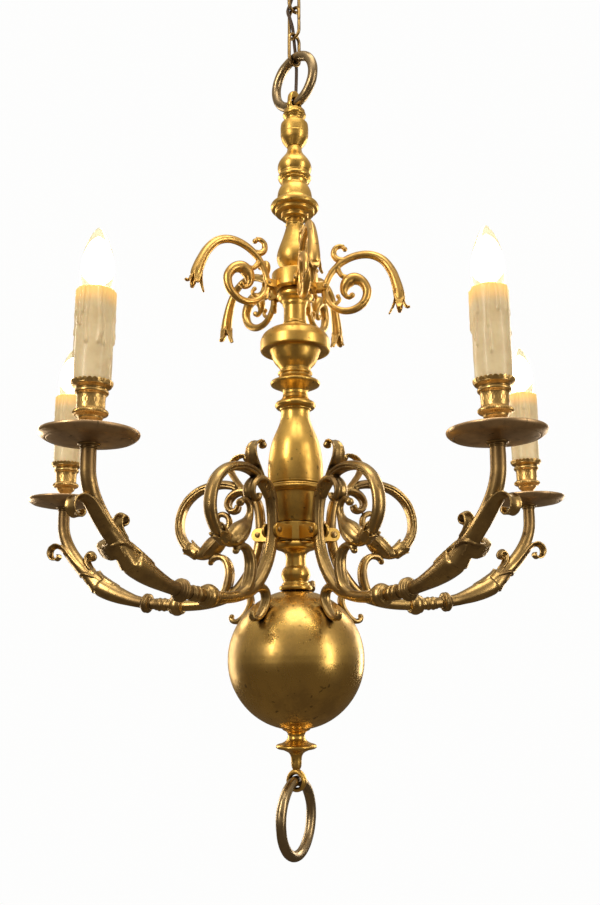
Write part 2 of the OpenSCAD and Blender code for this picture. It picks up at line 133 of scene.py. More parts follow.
def soft_box(name, spot, size, power):
    """A warm rectangular light that faces the chandelier. Places and sizes are in metres."""
    data = bpy.data.lights.new(name, "AREA")
    data.shape = "RECTANGLE"
    data.size, data.size_y = size
    data.energy = power
    data.color = (1.0, 0.90, 0.74)
    light = shown(bpy.data.objects.new(name, data))
    light.location = spot
    aim = Vector((0, 0, -0.95))
    light.rotation_euler = (aim - Vector(spot)).to_track_quat("-Z", "Y").to_euler()


def make_world():
    """A pale studio: what brass mirrors is darker than what the camera sees behind it."""
    world = bpy.data.worlds.new("studio")
    world.use_nodes = True
    nodes, links = world.node_tree.nodes, world.node_tree.links
    nodes.clear()
    kinds = ("OutputWorld", "MixShader", "Background", "Background", "LightPath", "TexCoord", "SeparateXYZ",
             "ValToRGB", "MapRange")
    out, mix, seen, room, path, place, split, ramp, height = (
        nodes.new("ShaderNode" + kind) for kind in kinds)
    seen.inputs["Color"].default_value = (0.985, 0.985, 0.98, 1)
    room.inputs["Strength"].default_value = 0.75
    height.inputs["From Min"].default_value = -1
    # What brass mirrors, from straight below it to straight above.
    stops = [(0.0, (0.19, 0.145, 0.095)), (0.43, (0.135, 0.103, 0.068)), (0.50, (0.22, 0.18, 0.13)),
             (0.58, (0.46, 0.40, 0.31)), (0.74, (0.44, 0.37, 0.28)), (0.88, (0.75, 0.66, 0.52)),
             (1.0, (1.0, 0.93, 0.80))]
    while len(ramp.color_ramp.elements) < len(stops):
        ramp.color_ramp.elements.new(0.5)
    for element, (where, colour) in zip(ramp.color_ramp.elements, stops):
        element.position = where
        element.color = (*colour, 1)
    for source, target in (
            (place.outputs["Generated"], split.inputs[0]), (split.outputs["Z"], height.inputs["Value"]),
            (height.outputs[0], ramp.inputs[0]), (ramp.outputs[0], room.inputs["Color"]),
            (path.outputs["Is Camera Ray"], mix.inputs[0]), (room.outputs[0], mix.inputs[1]),
            (seen.outputs[0], mix.inputs[2]), (mix.outputs[0], out.inputs["Surface"])):
        links.new(source, target)
    bpy.context.scene.world = world


def make_stage():
    """Soft boxes round the chandelier, and a pale floor well below it."""
    for name, spot, size, power in (
            ("key", (-1.5, -1.7, 0.1), (0.35, 1.6), 24), ("fill", (1.9, -1.3, -0.5), (0.35, 1.8), 16),
            ("rim_left", (-1.6, 1.5, -0.7), (0.5, 1.8), 20), ("rim_right", (1.4, 1.7, -0.5), (0.5, 1.8), 20),
            ("top", (0.1, -0.5, 0.9), (1.2, 1.2), 12)):
        soft_box(name, spot, size, power)
    floor_z, half = -2.45, 2.2
    corners = [(x * half, y * half, floor_z) for x, y in ((-1, -1), (1, -1), (1, 1), (-1, 1))]
    mesh = bpy.data.meshes.new("floor")
    mesh.from_pydata(corners, [], [(0, 1, 2, 3)])
    mesh.materials.append(plain("floor_paint", (0.80, 0.79, 0.77), 0.8))
    floor = shown(bpy.data.objects.new("floor", mesh))
    floor.visible_glossy = False
    bpy.context.scene.view_settings.view_transform = "Standard"


# ---- Materials -------------------------------------------------------------------------------------------

def plain(name, colour, roughness, metallic=0.0):
    material = bpy.data.materials.new(name)
    material.use_nodes = True
    shader = material.node_tree.nodes["Principled BSDF"]
    shader.inputs["Base Color"].default_value = (*colour, 1)
    shader.inputs["Roughness"].default_value = roughness
    shader.inputs["Metallic"].default_value = metallic
    return material


def shade(colour, share):
    return tuple(c * share for c in colour)


class Wiring:
    """Short words for building a material's nodes."""

    def __init__(self, material):
        self.nodes = material.node_tree.nodes
        self.links = material.node_tree.links
        self.shader = self.nodes["Principled BSDF"]
        self.place = self.nodes.new("ShaderNodeTexCoord").outputs["Object"]

    def link(self, source, target):
        self.links.new(source, target)

    def drive(self, socket, source):
        """Feeds one of the shader's inputs."""
        self.link(source, self.shader.inputs[socket])

    def fix(self, values):
        """Sets the shader's inputs from {name: value}."""
        for socket, value in values.items():
            self.shader.inputs[socket].default_value = value

    def height(self):
        """The height in the object's own frame, in metres."""
        split = self.nodes.new("ShaderNodeSeparateXYZ")
        self.link(self.place, split.inputs[0])
        return split.outputs["Z"]

    def stretched(self, scale):
        node = self.nodes.new("ShaderNodeMapping")
        node.inputs["Scale"].default_value = scale
        self.link(self.place, node.inputs["Vector"])
        return node.outputs[0]

    def noise(self, scale, detail, rough, vector=None):
        node = self.nodes.new("ShaderNodeTexNoise")
        node.inputs["Scale"].default_value = scale
        node.inputs["Detail"].default_value = detail
        node.inputs["Roughness"].default_value = rough
        self.link(vector or self.place, node.inputs["Vector"])
        return node.outputs["Fac"]

    def bands(self, direction, scale, distortion):
        node = self.nodes.new("ShaderNodeTexWave")
        node.wave_type = "BANDS"
        node.bands_direction = direction
        node.inputs["Scale"].default_value = scale
        node.inputs["Distortion"].default_value = distortion
        self.link(self.place, node.inputs["Vector"])
        return node.outputs["Fac"]

    def ramp(self, value, low, high, start=0.0, end=1.0):
        """value from low to high becomes start to end."""
        node = self.nodes.new("ShaderNodeMapRange")
        node.interpolation_type = "SMOOTHSTEP"
        for socket, number in zip(("From Min", "From Max", "To Min", "To Max"), (low, high, start, end)):
            node.inputs[socket].default_value = number
        self.link(value, node.inputs["Value"])
        return node.outputs[0]

    def calc(self, operation, first, second):
        """A sum whose answer stays between 0 and 1."""
        node = self.nodes.new("ShaderNodeMath")
        node.operation = operation
        node.use_clamp = True
        for socket, value in zip(node.inputs, (first, second)):
            if isinstance(value, (int, float)):
                socket.default_value = value
            else:
                self.link(value, socket)
        return node.outputs[0]

    def plus(self, first, second):
        return self.calc("ADD", first, second)

    def times(self, first, second):
        return self.calc("MULTIPLY", first, second)

    def mix(self, factor, first, second):
        """The first colour where factor is 0, the second where it is 1. Each is a tuple or an output."""
        node = self.nodes.new("ShaderNodeMix")
        node.data_type = "RGBA"
        self.link(factor, node.inputs["Factor"])
        for socket, colour in zip((node.inputs[6], node.inputs[7]), (first, second)):
            if isinstance(colour, tuple):
                socket.default_value = (*colour, 1)
            else:
                self.link(colour, socket)
        return node.outputs[2]

    def hollow(self, low, high):
        """1 in creases and 0 on edges, or the other way round when low is above high."""
        shape = self.nodes.new("ShaderNodeNewGeometry").outputs["Pointiness"]
        return self.ramp(shape, low, high, 1.0, 0.0)

    def corner(self, reach, low, high):
        """1 in corners and between rings that stand close together, 0 in the open. reach is in metres."""
        node = self.nodes.new("ShaderNodeAmbientOcclusion")
        node.samples = 8
        node.inputs["Distance"].default_value = reach
        return self.ramp(node.outputs["AO"], low, high, 1.0, 0.0)

    def bump(self, *layers):
        """Each layer is (height, depth in metres, strength)."""
        normal = None
        for height, depth, strength in layers:
            node = self.nodes.new("ShaderNodeBump")
            node.inputs["Distance"].default_value = depth
            node.inputs["Strength"].default_value = strength
            self.link(height, node.inputs["Height"])
            if normal is not None:
                self.link(normal, node.inputs["Normal"])
            normal = node.outputs[0]
        self.link(normal, self.shader.inputs["Normal"])


def brass(name, colour, tarnish, dark, amount, roughness, turned=False):
    """Brass with patches, streaks and spots of tarnish, painted shade in its hollows and corners, and
    brighter edges.

    amount is how far the tarnish goes. turned adds the fine grooves that a lathe leaves.
    """
    material = plain(name, colour, roughness, 1.0)
    w = Wiring(material)
    patches = w.ramp(w.noise(16, 6, 0.65), 0.40, 0.72)
    specks = w.ramp(w.noise(140, 5, 0.7), 0.52, 0.74)
    streaks = w.ramp(w.noise(34, 5, 0.7, w.stretched((1, 1, 0.16))), 0.46, 0.70)
    spots = w.ramp(w.noise(120, 2, 0.5), 0.66, 0.73)
    stain = w.plus(w.times(specks, 0.5), w.times(streaks, 0.35))
    cloud = w.times(w.plus(patches, stain), amount)
    base = w.mix(cloud, colour, tarnish)
    base = w.mix(w.times(spots, 0.55), base, dark)
    # Painted shade: hollows, and corners that the ambient occlusion finds, are darkened towards the dark
    # colour.
    creases = w.calc("MAXIMUM", w.hollow(0.44, 0.505), w.corner(0.007, 0.30, 0.78))
    base = w.mix(w.times(creases, 0.85), base, dark)
    edges = w.times(w.hollow(0.60, 0.52), 0.55)
    bright = tuple(min(1.0, c * 1.18 + 0.03) for c in colour)
    w.drive("Base Color", w.mix(edges, base, bright))
    wear = w.plus(w.times(cloud, 0.24), w.times(w.noise(60, 4, 0.6), 0.12))
    w.drive("Roughness", w.plus(wear, roughness - 0.04))
    layers = [(w.noise(45, 3, 0.5), 0.0006, 0.25), (w.noise(700, 4, 0.7), 0.00008, 0.35)]
    if turned:
        layers.append((w.noise(30, 5, 0.7, w.stretched((0.4, 0.4, 40))), 0.00012, 0.35))
    w.bump(*layers)
    return material


def wax_material():
    """Ivory wax, uneven in tone: a painted glow near the top, in its colour and its emission, stands for the
    lamp lighting it from inside, and painted shade darkens its creases.
    """
    material = plain("ivory_wax", (0.90, 0.80, 0.60), 0.42)
    w = Wiring(material)
    w.fix({"Subsurface Weight": 0.2, "Subsurface Radius": (1.0, 0.55, 0.25), "Subsurface Scale": 0.003,
           "Coat Weight": 0.15, "Emission Strength": 0.42})
    cloud = w.ramp(w.noise(40, 4, 0.6), 0.35, 0.7)
    base = w.mix(cloud, (0.86, 0.74, 0.50), (0.74, 0.60, 0.37))
    # Painted shade: darker in the creases between the runs of wax.
    base = w.mix(w.times(w.hollow(0.44, 0.50), 0.5), base, (0.62, 0.47, 0.27))
    # Painted glow: towards the top the colour turns warm orange and the wax emits light, for the lamp shining
    # through it.
    w.drive("Base Color", w.mix(w.ramp(w.height(), 0.132, 0.156), base, (0.96, 0.70, 0.30)))
    lit = w.ramp(w.height(), 0.130, 0.157)
    w.drive("Emission Color", w.mix(lit, (0.020, 0.012, 0.004), (1.0, 0.50, 0.07)))
    w.bump((w.noise(90, 4, 0.6), 0.0006, 0.35), (w.noise(600, 3, 0.6), 0.0001, 0.25))
    return material


def glass_material():
    """Clear glass of a lamp that is lit: it glows a little all over, paler towards its tip."""
    material = plain("lamp_glass", (1.0, 0.98, 0.93), 0.02)
    w = Wiring(material)
    w.fix({"Transmission Weight": 1.0, "IOR": 1.22, "Emission Strength": 0.32})
    w.drive("Emission Color", w.mix(w.ramp(w.height(), 0.150, 0.226), (1.0, 0.80, 0.42), (1.0, 0.90, 0.52)))
    w.bump((w.noise(60, 2, 0.5), 0.0002, 0.10))
    return material


def glow_material():
    """The bright core that stands for the filament's light."""
    colour = (1.0, 0.86, 0.58)
    material = plain("lamp_glow", colour, 0.5)
    w = Wiring(material)
    w.drive("Emission Color", w.mix(w.ramp(w.noise(300, 3, 0.6), 0.3, 0.7), colour, shade(colour, 0.86)))
    w.fix({"Emission Strength": 9.0})
    return material


def cord_material():
    """Brown flex with a braided cover."""
    material = plain("flex_braid", (0.10, 0.06, 0.04), 0.75)
    w = Wiring(material)
    weave = w.times(w.bands("DIAGONAL", 420, 1.2), w.bands("Z", 520, 0.0))
    w.drive("Base Color", w.mix(weave, (0.055, 0.030, 0.020), (0.20, 0.13, 0.085)))
    w.bump((weave, 0.0003, 0.8))
    w.fix({"Sheen Weight": 0.3})
    return material


def plated(name, colour, roughness):
    """Zinc plating: a fine grain with slight blotches."""
    material = plain(name, colour, roughness, 0.9)
    w = Wiring(material)
    w.drive("Base Color", w.mix(w.ramp(w.noise(80, 5, 0.7), 0.35, 0.7), colour, shade(colour, 0.62)))
    w.drive("Roughness", w.ramp(w.noise(200, 4, 0.6), 0.3, 0.7, roughness, roughness + 0.2))
    w.bump((w.noise(500, 3, 0.6), 0.0001, 0.4))
    return material


def moulded(name, colour, roughness):
    """A moulded plastic, slightly uneven in colour and grain."""
    material = plain(name, colour, roughness)
    w = Wiring(material)
    w.drive("Base Color", w.mix(w.ramp(w.noise(90, 4, 0.6), 0.35, 0.7), colour, shade(colour, 0.7)))
    w.bump((w.noise(900, 3, 0.6), 0.0001, 0.4))
    return material


# The third colour of each brass is that of its dark spots and of the painted shade in its hollows.
GOLD = brass(
    "polished_brass", (0.85, 0.55, 0.145), (0.44, 0.27, 0.075), (0.06, 0.034, 0.014), 0.70, 0.28, True)
BALL = brass("ball_brass", (0.80, 0.53, 0.16), (0.40, 0.26, 0.09), (0.08, 0.045, 0.018), 0.75, 0.21, True)
AGED = brass("aged_brass", (0.56, 0.385, 0.155), (0.19, 0.12, 0.06), (0.025, 0.017, 0.010), 0.80, 0.23)
SCROLL = brass("scroll_brass", (0.80, 0.52, 0.17), (0.38, 0.22, 0.07), (0.06, 0.034, 0.014), 0.60, 0.27)
PAN = brass("pan_brass", (0.68, 0.48, 0.28), (0.36, 0.25, 0.15), (0.05, 0.036, 0.02), 0.75, 0.30, True)
CUP = brass("cup_brass", (0.74, 0.50, 0.19), (0.34, 0.22, 0.09), (0.05, 0.03, 0.014), 0.75, 0.25, True)
RING = brass("ring_bronze", (0.46, 0.35, 0.20), (0.20, 0.145, 0.09), (0.04, 0.03, 0.02), 0.75, 0.25)
WAX = wax_material()
GLASS = glass_material()
GLOW = glow_material()
FLEX = cord_material()
ZINC = plated("zinc", (0.62, 0.61, 0.58), 0.35)
DARK = moulded("dark_moulding", (0.10, 0.075, 0.055), 0.5)


# ---- Mesh making -----------------------------------------------------------------------------------------

def turns(count):
    """Angles in equal steps, once round from 0."""
    return [2 * math.pi * k / count for k in range(count)]


def about_z(degrees):
    return Matrix.Rotation(math.radians(degrees), 4, "Z")


def merge(*shapes):
    """Several (vertices, faces) in one."""
    vertices, faces = [], []
    for some, their_faces in shapes:
        first = len(vertices)
        vertices += some
        faces += [tuple(first + i for i in f) for f in their_faces]
    return vertices, faces


def moved(shape, matrix):
    vertices, faces = shape
    return [matrix @ Vector(v) for v in vertices], faces


def piece(name, shape, material, matrix=None, sharp=38):
    """A mesh object from (vertices, faces) in millimetres. matrix places it in the row frame, in millimetres.

    Edges sharper than sharp degrees stay crisp; None smooths them all.
    """
    mesh = bpy.data.meshes.new(name)
    mesh.from_pydata([Vector(v) * MM for v in shape[0]], [], shape[1])
    mesh.validate()
    finish_mesh(mesh, material, sharp)
    return place(name, mesh, matrix)


def finish_mesh(mesh, material, sharp):
    mesh.materials.clear()
    mesh.materials.append(material)
    mesh.shade_smooth()
    if sharp:
        mesh.set_sharp_from_angle(angle=math.radians(sharp))


def place(name, mesh, matrix):
    """An object of a mesh. matrix is in millimetres, and the mesh in metres."""
    obj = shown(bpy.data.objects.new(name, mesh))
    if matrix is not None:
        scaled = matrix.copy()
        scaled.translation = matrix.translation * MM
        obj.matrix_world = scaled
    return obj


def smooth(points, steps):
    """Catmull-Rom between points of any number of values."""
    out = []
    last = len(points) - 1
    for i in range(last):
        four = points[max(i - 1, 0)], points[i], points[i + 1], points[min(i + 2, last)]
        for j in range(steps):
            t = j / steps
            out.append(tuple(0.5 * (2 * q + (r - p) * t + (2 * p - 5 * q + 4 * r - s) * t * t
                                    + (3 * q - p - 3 * r + s) * t ** 3) for p, q, r, s in zip(*four)))
    out.append(tuple(points[-1]))
    return out


def rounded(outline, fillet):
    """An outline with its corners rounded. A point is (r, z) or (r, z, its own rounding)."""
    out = [Vector(outline[0][:2])]
    for before, here, after in zip(outline, outline[1:], outline[2:]):
        a, b, c = Vector(before[:2]), Vector(here[:2]), Vector(after[:2])
        reach = here[2] if len(here) > 2 else fillet
        into, out_of = (a - b), (c - b)
        cut = min(reach, into.length * 0.5, out_of.length * 0.5)
        start, end = b + into.normalized() * cut, b + out_of.normalized() * cut
        steps = 2 if cut < 0.9 else 4 if cut < 4 else 9  # a wider rounding gets more points
        for i in range(steps + 1):
            t = i / steps
            point = start * (1 - t) ** 2 + b * 2 * t * (1 - t) + end * t * t
            if (point - out[-1]).length > 0.02:
                out.append(point)
    out.append(Vector(outline[-1][:2]))
    return out


def skin(rings, closed=False):
    """Joins rings of points, all of one length, with quads. If it isn't closed, a fan closes each end."""
    n = len(rings[0])
    vertices = [tuple(p) for ring in rings for p in ring]
    rows = len(rings)
    faces = []
    for i in range(rows if closed else rows - 1):
        a, b = i * n, ((i + 1) % rows) * n
        for k in range(n):
            m = (k + 1) % n
            faces.append((a + k, a + m, b + m, b + k))
    if not closed:
        for first, flip in ((0, True), ((rows - 1) * n, False)):
            hub = sum((Vector(vertices[first + k]) for k in range(n)), Vector()) / n
            vertices.append(tuple(hub))
            for k in range(n):
                m = (k + 1) % n
                pair = (first + m, first + k) if flip else (first + k, first + m)
                faces.append((*pair, len(vertices) - 1))
    return vertices, faces


def lathe(outline, sides, fillet=0.5, closed=False, wobble=None):
    """A turned solid. The outline runs from the bottom up, or all the way round if closed.

    wobble(angle, r, z) moves r.
    """
    rings = []
    for p in rounded(outline, fillet):
        ring = []
        for a in turns(sides):
            r = p.x + (wobble(a, p.x, p.y) if wobble else 0)
            ring.append((r * math.cos(a), r * math.sin(a), p.y))
        rings.append(ring)
    return skin(rings, closed)


def across(t, side):
    """Two directions square to t: one that is square to side as well, and the one nearest to side."""
    b = (side - t * side.dot(t)).normalized()
    return b.cross(t), b


def sweep(path, section, side=Y, closed=False):
    """A section swept along a path of (x, y, z, ...).

    section(point, share) gives offsets (n, b) round the point: b runs along side, and n is square to it.
    """
    rings = []
    last = len(path) - 1
    for i, p in enumerate(path):
        if closed:
            ahead, behind = path[(i + 1) % len(path)], path[i - 1]
        else:
            ahead, behind = path[min(i + 1, last)], path[max(i - 1, 0)]
        t = (Vector(ahead[:3]) - Vector(behind[:3])).normalized()
        n, b = across(t, side)
        rings.append([Vector(p[:3]) + n * u + b * v for u, v in section(p, i / last)])
    return skin(rings, closed)


def in_plane(points, steps):
    """(x, z, sizes...) in the plane of an arm becomes a smooth path (x, 0, z, sizes...)."""
    return [(p[0], 0.0, p[1], *p[2:]) for p in smooth(points, steps)]


def round_section(sides, flat=1.0):
    """p[3] is the radius. flat is the width along side over the width in the plane."""
    def section(p, share):
        return [(p[3] * math.cos(a), p[3] * flat * math.sin(a)) for a in turns(sides)]
    return section


def ball_end(centre, r, squash):
    """A ball that is squash times as wide along Y."""
    x, y, z = centre
    rings = []
    rows = 9
    for i in range(1, rows):
        a = math.pi * i / rows
        rings.append([(x + r * math.sin(a) * math.cos(b), y + r * squash * math.sin(a) * math.sin(b),
                       z - r * math.cos(a)) for b in turns(16)])
    return skin(rings)


def leaf(points, side, thick, bow, vein):
    """A leaf along (x, y, z, half width) points. Its edges bend by bow times the width, a vein runs along it.

    bow may be a pair: its values at the foot and at the tip.
    """
    foot_bow, tip_bow = bow if isinstance(bow, tuple) else (bow, bow)
    columns = 7
    across_leaf = [2 * k / columns - 1 for k in range(columns + 1)]

    def section(p, share):
        width = p[3]
        bend = foot_bow + (tip_bow - foot_bow) * share
        top, under = [], []
        for u in across_leaf:
            n, b, half = bend * width * u * u, width * u, thick * 0.5 * (1 - 0.45 * u * u)
            rib = vein * math.exp(-(u / 0.22) ** 2)
            top.append((n + half + rib + 0.5 * vein * u ** 8, b))
            under.append((n - half, b))
        return top + under[::-1]
    return sweep(smooth(points, 7), section, side)


CAST_EDGE = 42  # degrees: the turned rings of a casting keep the edges that are sharper than this


def cast(name, shapes, voxel, keep, material, soften, crisp=None):
    """One casting: the shapes are fused into a single skin, softened, and thinned out to the share keep.

    crisp is a (vertices, faces) shape that joins the casting with its sharp edges as they are.
    """
    mesh = bpy.data.meshes.new(name + "_parts")
    vertices, faces = merge(*shapes)
    mesh.from_pydata([Vector(v) * MM for v in vertices], [], faces)
    draft = shown(bpy.data.objects.new(name + "_draft", mesh))
    fuse = draft.modifiers.new("fuse", "REMESH")
    fuse.mode = "VOXEL"
    fuse.voxel_size = voxel * MM
    soft = draft.modifiers.new("soft", "SMOOTH")
    soft.factor = 0.5
    soft.iterations = soften
    thin = draft.modifiers.new("thin", "DECIMATE")
    thin.ratio = keep
    bpy.context.view_layer.update()
    made = bpy.data.meshes.new_from_object(draft.evaluated_get(bpy.context.evaluated_depsgraph_get()))
    made.name = name
    bpy.data.objects.remove(draft)
    bpy.data.meshes.remove(mesh)
    if crisp is not None:
        extra = bpy.data.meshes.new(name + "_crisp")
        extra.from_pydata([Vector(v) * MM for v in crisp[0]], [], crisp[1])
        both = bmesh.new()
        both.from_mesh(made)
        both.from_mesh(extra)
        both.to_mesh(made)
        both.free()
        bpy.data.meshes.remove(extra)
    finish_mesh(made, material, CAST_EDGE if crisp else None)
    return made


def at_pans(angle=None):
    """The matrix of the pans' height on the axis. An angle turns what is drawn along +X to that azimuth."""
    matrix = Matrix.Translation((0, 0, PAN_Z))
    return matrix if angle is None else matrix @ about_z(angle - 90)


def belongs(obj, body, slot, *nodes):
    """Says which body moves a piece, and which CAD nodes it replaces. slot is not used."""
    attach(obj, body)
    if nodes:
        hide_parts(*nodes)
    return obj


# ---- Column ----------------------------------------------------------------------------------------------

def bead(r, z, size):
    """Points of a round bead, from the bottom up. It reaches out to r, and size is its radius."""
    arc, steps = 150, 7
    angles = [math.radians(-arc / 2 + arc * i / steps) for i in range(steps + 1)]
    return [(r - size + size * math.cos(a), z + size * math.sin(a), 0.1) for a in angles]


# Outlines of (r, z) or (r, z, rounding), from the bottom up.
COLUMN = {
    "pear_knop": [
        (8, 430.1), (17.7, 430.1), (18, 432), (18.6, 434.4), (21.4, 436.4, 1), *bead(23.3, 441.6, 3.6),
        (21.2, 446.0), (21.0, 448.2), (21.8, 449.4), (24.0, 455.6, 5), (23.2, 462.4, 5), (18.8, 469.8, 5),
        (13.6, 476.4, 5), (10.6, 482, 4), (9.8, 489.2), (6, 489.2)],
    "stepped_disc": [
        (6, 377.2), (12.4, 377.2), (13.5, 378.8), (18.5, 379.6), (18.8, 381.2), (18.2, 384.6), (19, 385.6),
        (26.6, 386.6), (27.2, 388), (26.6, 390.6), (27.6, 391.6), (31.4, 392.3), (33.2, 394.4, 1.2),
        (33.3, 398.6, 1.2), (31.8, 400.6), (28.6, 401.4), (27.4, 402.6), (26.4, 405.4), (24.6, 406.2),
        (24.3, 411, 3), (23.4, 419, 4), (20.4, 426, 4), (18.6, 427.6), (18.4, 430), (6, 430)],
    "upper_vase": [
        (6, 297.2), (13.4, 297.2), (14.4, 298.6), (14.4, 300), (13.6, 301.6), (15.6, 303), (20.4, 308, 3),
        (24.0, 314, 6), (25.0, 321, 7), (23.8, 329, 8), (20.8, 338, 10), (16.6, 350, 10), (13.4, 361, 6),
        (11.8, 367.6), (12.8, 369), (12.8, 370.6), (11.6, 372), (11.3, 377), (6, 377)],
    "hub_sleeve": [
        (6, 223.7), (15.8, 223.7), (16.2, 225.6), (15.2, 227.4), (15, 248), (16.8, 251.4), (16.8, 253.6),
        (17.6, 255.6, 1.5), (21.4, 258.2, 2), (22.6, 260.4), (24.4, 261.6), (24.6, 265.4), (23.4, 267.2),
        (22.6, 267.6), (22.5, 271), (6, 271)],
    "broad_disc": [
        (6, 159.2), (19.4, 159.2), (19.8, 161), (22.4, 164, 3), (27.6, 169.6, 5), (30.6, 176.6, 4),
        (32.6, 182.6, 1), (33.4, 184.4), (35, 185.8), (43.6, 185.8), (44.6, 184.8), (45.9, 185, 1),
        (46.6, 186.8, 0.6), (46.6, 198.6, 0.8), (45.4, 202.5, 2), (43.0, 207.6, 3), (38.2, 211.4, 3),
        (36.6, 212), (36, 213.2), (28, 214.8, 3), (20, 217.2, 4), (16.4, 219.8, 2), (15.6, 223.5),
        (6, 223.5)],
    "spool": [
        (6, 125.2), (16.2, 125.2), (16.2, 129.6, 1.5), (20, 132.6, 3), (30, 137.2, 2), (32.2, 138.2),
        (33.2, 140.6, 1), (32.2, 142.6), (29.6, 143.4), (24, 145.6, 3), (21.4, 149.2, 2), (20.8, 151.6),
        *bead(23.0, 154.4, 2.6), (20.6, 157), (20.6, 159), (6, 159)],
    "baluster": [
        (6, 3.2), (34.2, 3.2), (35.4, 4.6), (35.2, 6.4), (35.6, 8), (36, 20, 9), (35.5, 33, 9),
        (34.1, 45, 9), (31.9, 57.5, 9), (27.6, 69.5, 9), (22.2, 81.5, 8), (19, 92, 6), (18.4, 99.4, 3),
        (19, 102.6), (20.6, 103.6), (20.8, 105.4), (25, 106.6), (26.8, 109.2, 1.2), (26.8, 111.6, 1.2),
        (25.2, 114), (21.4, 115.6, 1), (20.2, 117.4), (17.6, 119.6, 2), (16.4, 125), (6, 125)],
    "hub_bowl": [
        (6, -45.2), (26.4, -45.2), (26.8, -43.6), (27.4, -40, 3), (29.6, -32, 8), (31.2, -22, 8),
        (32.4, -9, 3), (32.8, -7.6), (35.4, -6.6), (36.2, -5.4), *bead(38.4, -2.4, 2.6), (36.4, 0.4),
        (36.8, 1.4), (35.6, 2.9), (6, 2.9)],
    "ball_neck": [
        (6, -131), (18.5, -131.6), (20.6, -130.4), (21.2, -128.4, 1), (20.4, -126), (18.2, -125),
        (17.4, -124), (17.6, -122.8), (16, -121.8), (15.4, -120), (16.8, -117.4, 2), (18.8, -111.8, 5),
        (17.2, -105.4, 3), (13.6, -101.4), (13, -100), (12.6, -96, 3), (12.1, -90, 3), (13.6, -84.8, 3),
        (18, -81.6, 3), (24, -79.8), (26.4, -77.8), (26.9, -74.6, 1), (25.8, -71.8), (24.2, -70.3),
        (6, -70.3)],
}
FINIAL_BARREL = [
    (7, 489.4), (10.6, 489.4), (11.4, 491), (13.8, 494.2, 3), (18.2, 500.6, 3), (19.2, 506.6, 1),
    (19.8, 508.2, 0.5), (19.2, 509.6, 0.5), (19.6, 511), (19.8, 519, 2), (19.2, 525.4, 0.8), (17.4, 526.8),
    (13.4, 529, 2), (11.8, 531.6, 2), (12.4, 534.4), (14.2, 536), *bead(16.6, 540.4, 3.4), (14.6, 543.6),
    (15.4, 544.6), (15.2, 546.6), (12, 548, 3), (6, 548.6)]
BOTTOM_TURNING = [
    (4, -344.6), (5.6, -343), (6.4, -339, 3), (6.3, -333, 3), (7.2, -328.4, 2), (9.4, -325.4, 2),
    (16, -322.4, 2), (22.4, -321.2), (24.7, -319.6), (25, -317.6, 0.8), (23.4, -316), (17, -314.2, 2),
    (12.4, -311.4, 2), (10.4, -308.2, 2), (10.2, -304.6, 2), (11.6, -301.4, 2), (14.8, -300),
    (16.4, -299.4), (17.4, -297.6), (17, -296.4), (6, -297.8)]


def turned_column():
    """The stack of turned castings."""
    for name, outline in COLUMN.items():
        obj = piece(name + "_turning", lathe(outline, 112), GOLD, at_pans())
        belongs(obj, "column", "polished_brass", name)


def polished_ball():
    """The hollow ball with the seam where its two halves meet, dented here and there by age."""
    rows = 96
    skin_depth = 0.3
    rings = []
    for i in range(1, rows):
        a = math.pi * i / rows
        ring = []
        for b in turns(144):
            way = Vector((math.sin(a) * math.cos(b), math.sin(a) * math.sin(b), -math.cos(a)))
            dent = 0.22 * noise.noise(way * 2.3) + 0.05 * noise.noise(way * 9)
            seam = 0.14 * math.exp(-((way.z * BALL_R) / 0.7) ** 2)
            ring.append(way * (BALL_R - skin_depth + min(dent, 0.15) - seam) + Vector((0, 0, BALL_Z)))
        rings.append(ring)
    belongs(piece("ball_shell", skin(rings), BALL, at_pans(), None), "column", "polished_brass", "ball")


def plate_with_hole(outline, hole_z, hole_r, half_thick, round_by):
    """A plate round a hole, in its own XZ plane, with rounded rims. outline(angle) is its radius."""
    rings = []
    rims = [math.radians(a) for a in range(-90, 91, 18)]
    for a in turns(72):
        far = outline(a)
        outer = [(far - round_by + round_by * math.cos(rim), rim) for rim in rims]
        inner = [(hole_r + round_by - round_by * math.cos(rim), rim) for rim in reversed(rims)]
        rings.append([(r * math.cos(a), half_thick * math.sin(rim), hole_z + r * math.sin(a))
                      for r, rim in outer + inner])
    return skin(rings, closed=True)


def top_lug():
    """The barrel with the lug that takes the suspension ring. The lug is wide where it leaves the collar."""
    collar_top, narrowest, side_r, crown, foot_r = 545, 0.12, 11.8, 9, 13.2

    def outline(a):
        rise = math.sin(a)
        if rise < 0:
            return min((LUG_Z - collar_top) / max(narrowest, -rise), foot_r)
        return (side_r + crown * rise ** 3) * (1 - 0.02 * abs(math.cos(a)))

    def neck_section(p, share):
        return [((8.4 - p[3]) * math.cos(a), (11.6 - 0.3 * p[3]) * math.sin(a)) for a in turns(40)]
    turn = about_z(CHAIN_TURN - 90)
    plate = plate_with_hole(outline, LUG_Z, 8.05, 4.4, 2.2)
    neck = sweep([(0, 0, 541, 0), (0, 0, 547, 1), (0, 0, 550.4, 2)], neck_section, X)
    parts = [lathe(FINIAL_BARREL, 96), moved(plate, turn), moved(neck, turn)]
    mesh = cast("finial_lug", parts, 0.7, 0.45, GOLD, 2)
    belongs(place("finial_lug", mesh, at_pans()), "column", "polished_brass", "top_finial")


def bottom_eye():
    """The last turning, whose stem swells into the eye of the pull ring."""
    plate = plate_with_hole(lambda a: 12.9 + 1.2 * max(0, math.sin(a)) ** 4, EYE_Z, 7.25, 4.6, 2.6)
    parts = [lathe(BOTTOM_TURNING, 96), moved(plate, about_z(PULL_TURN - 90))]
    mesh = cast("bottom_eye", parts, 0.6, 0.45, GOLD, 2)
    belongs(place("bottom_eye", mesh, at_pans()), "column", "polished_brass", "bottom_finial")


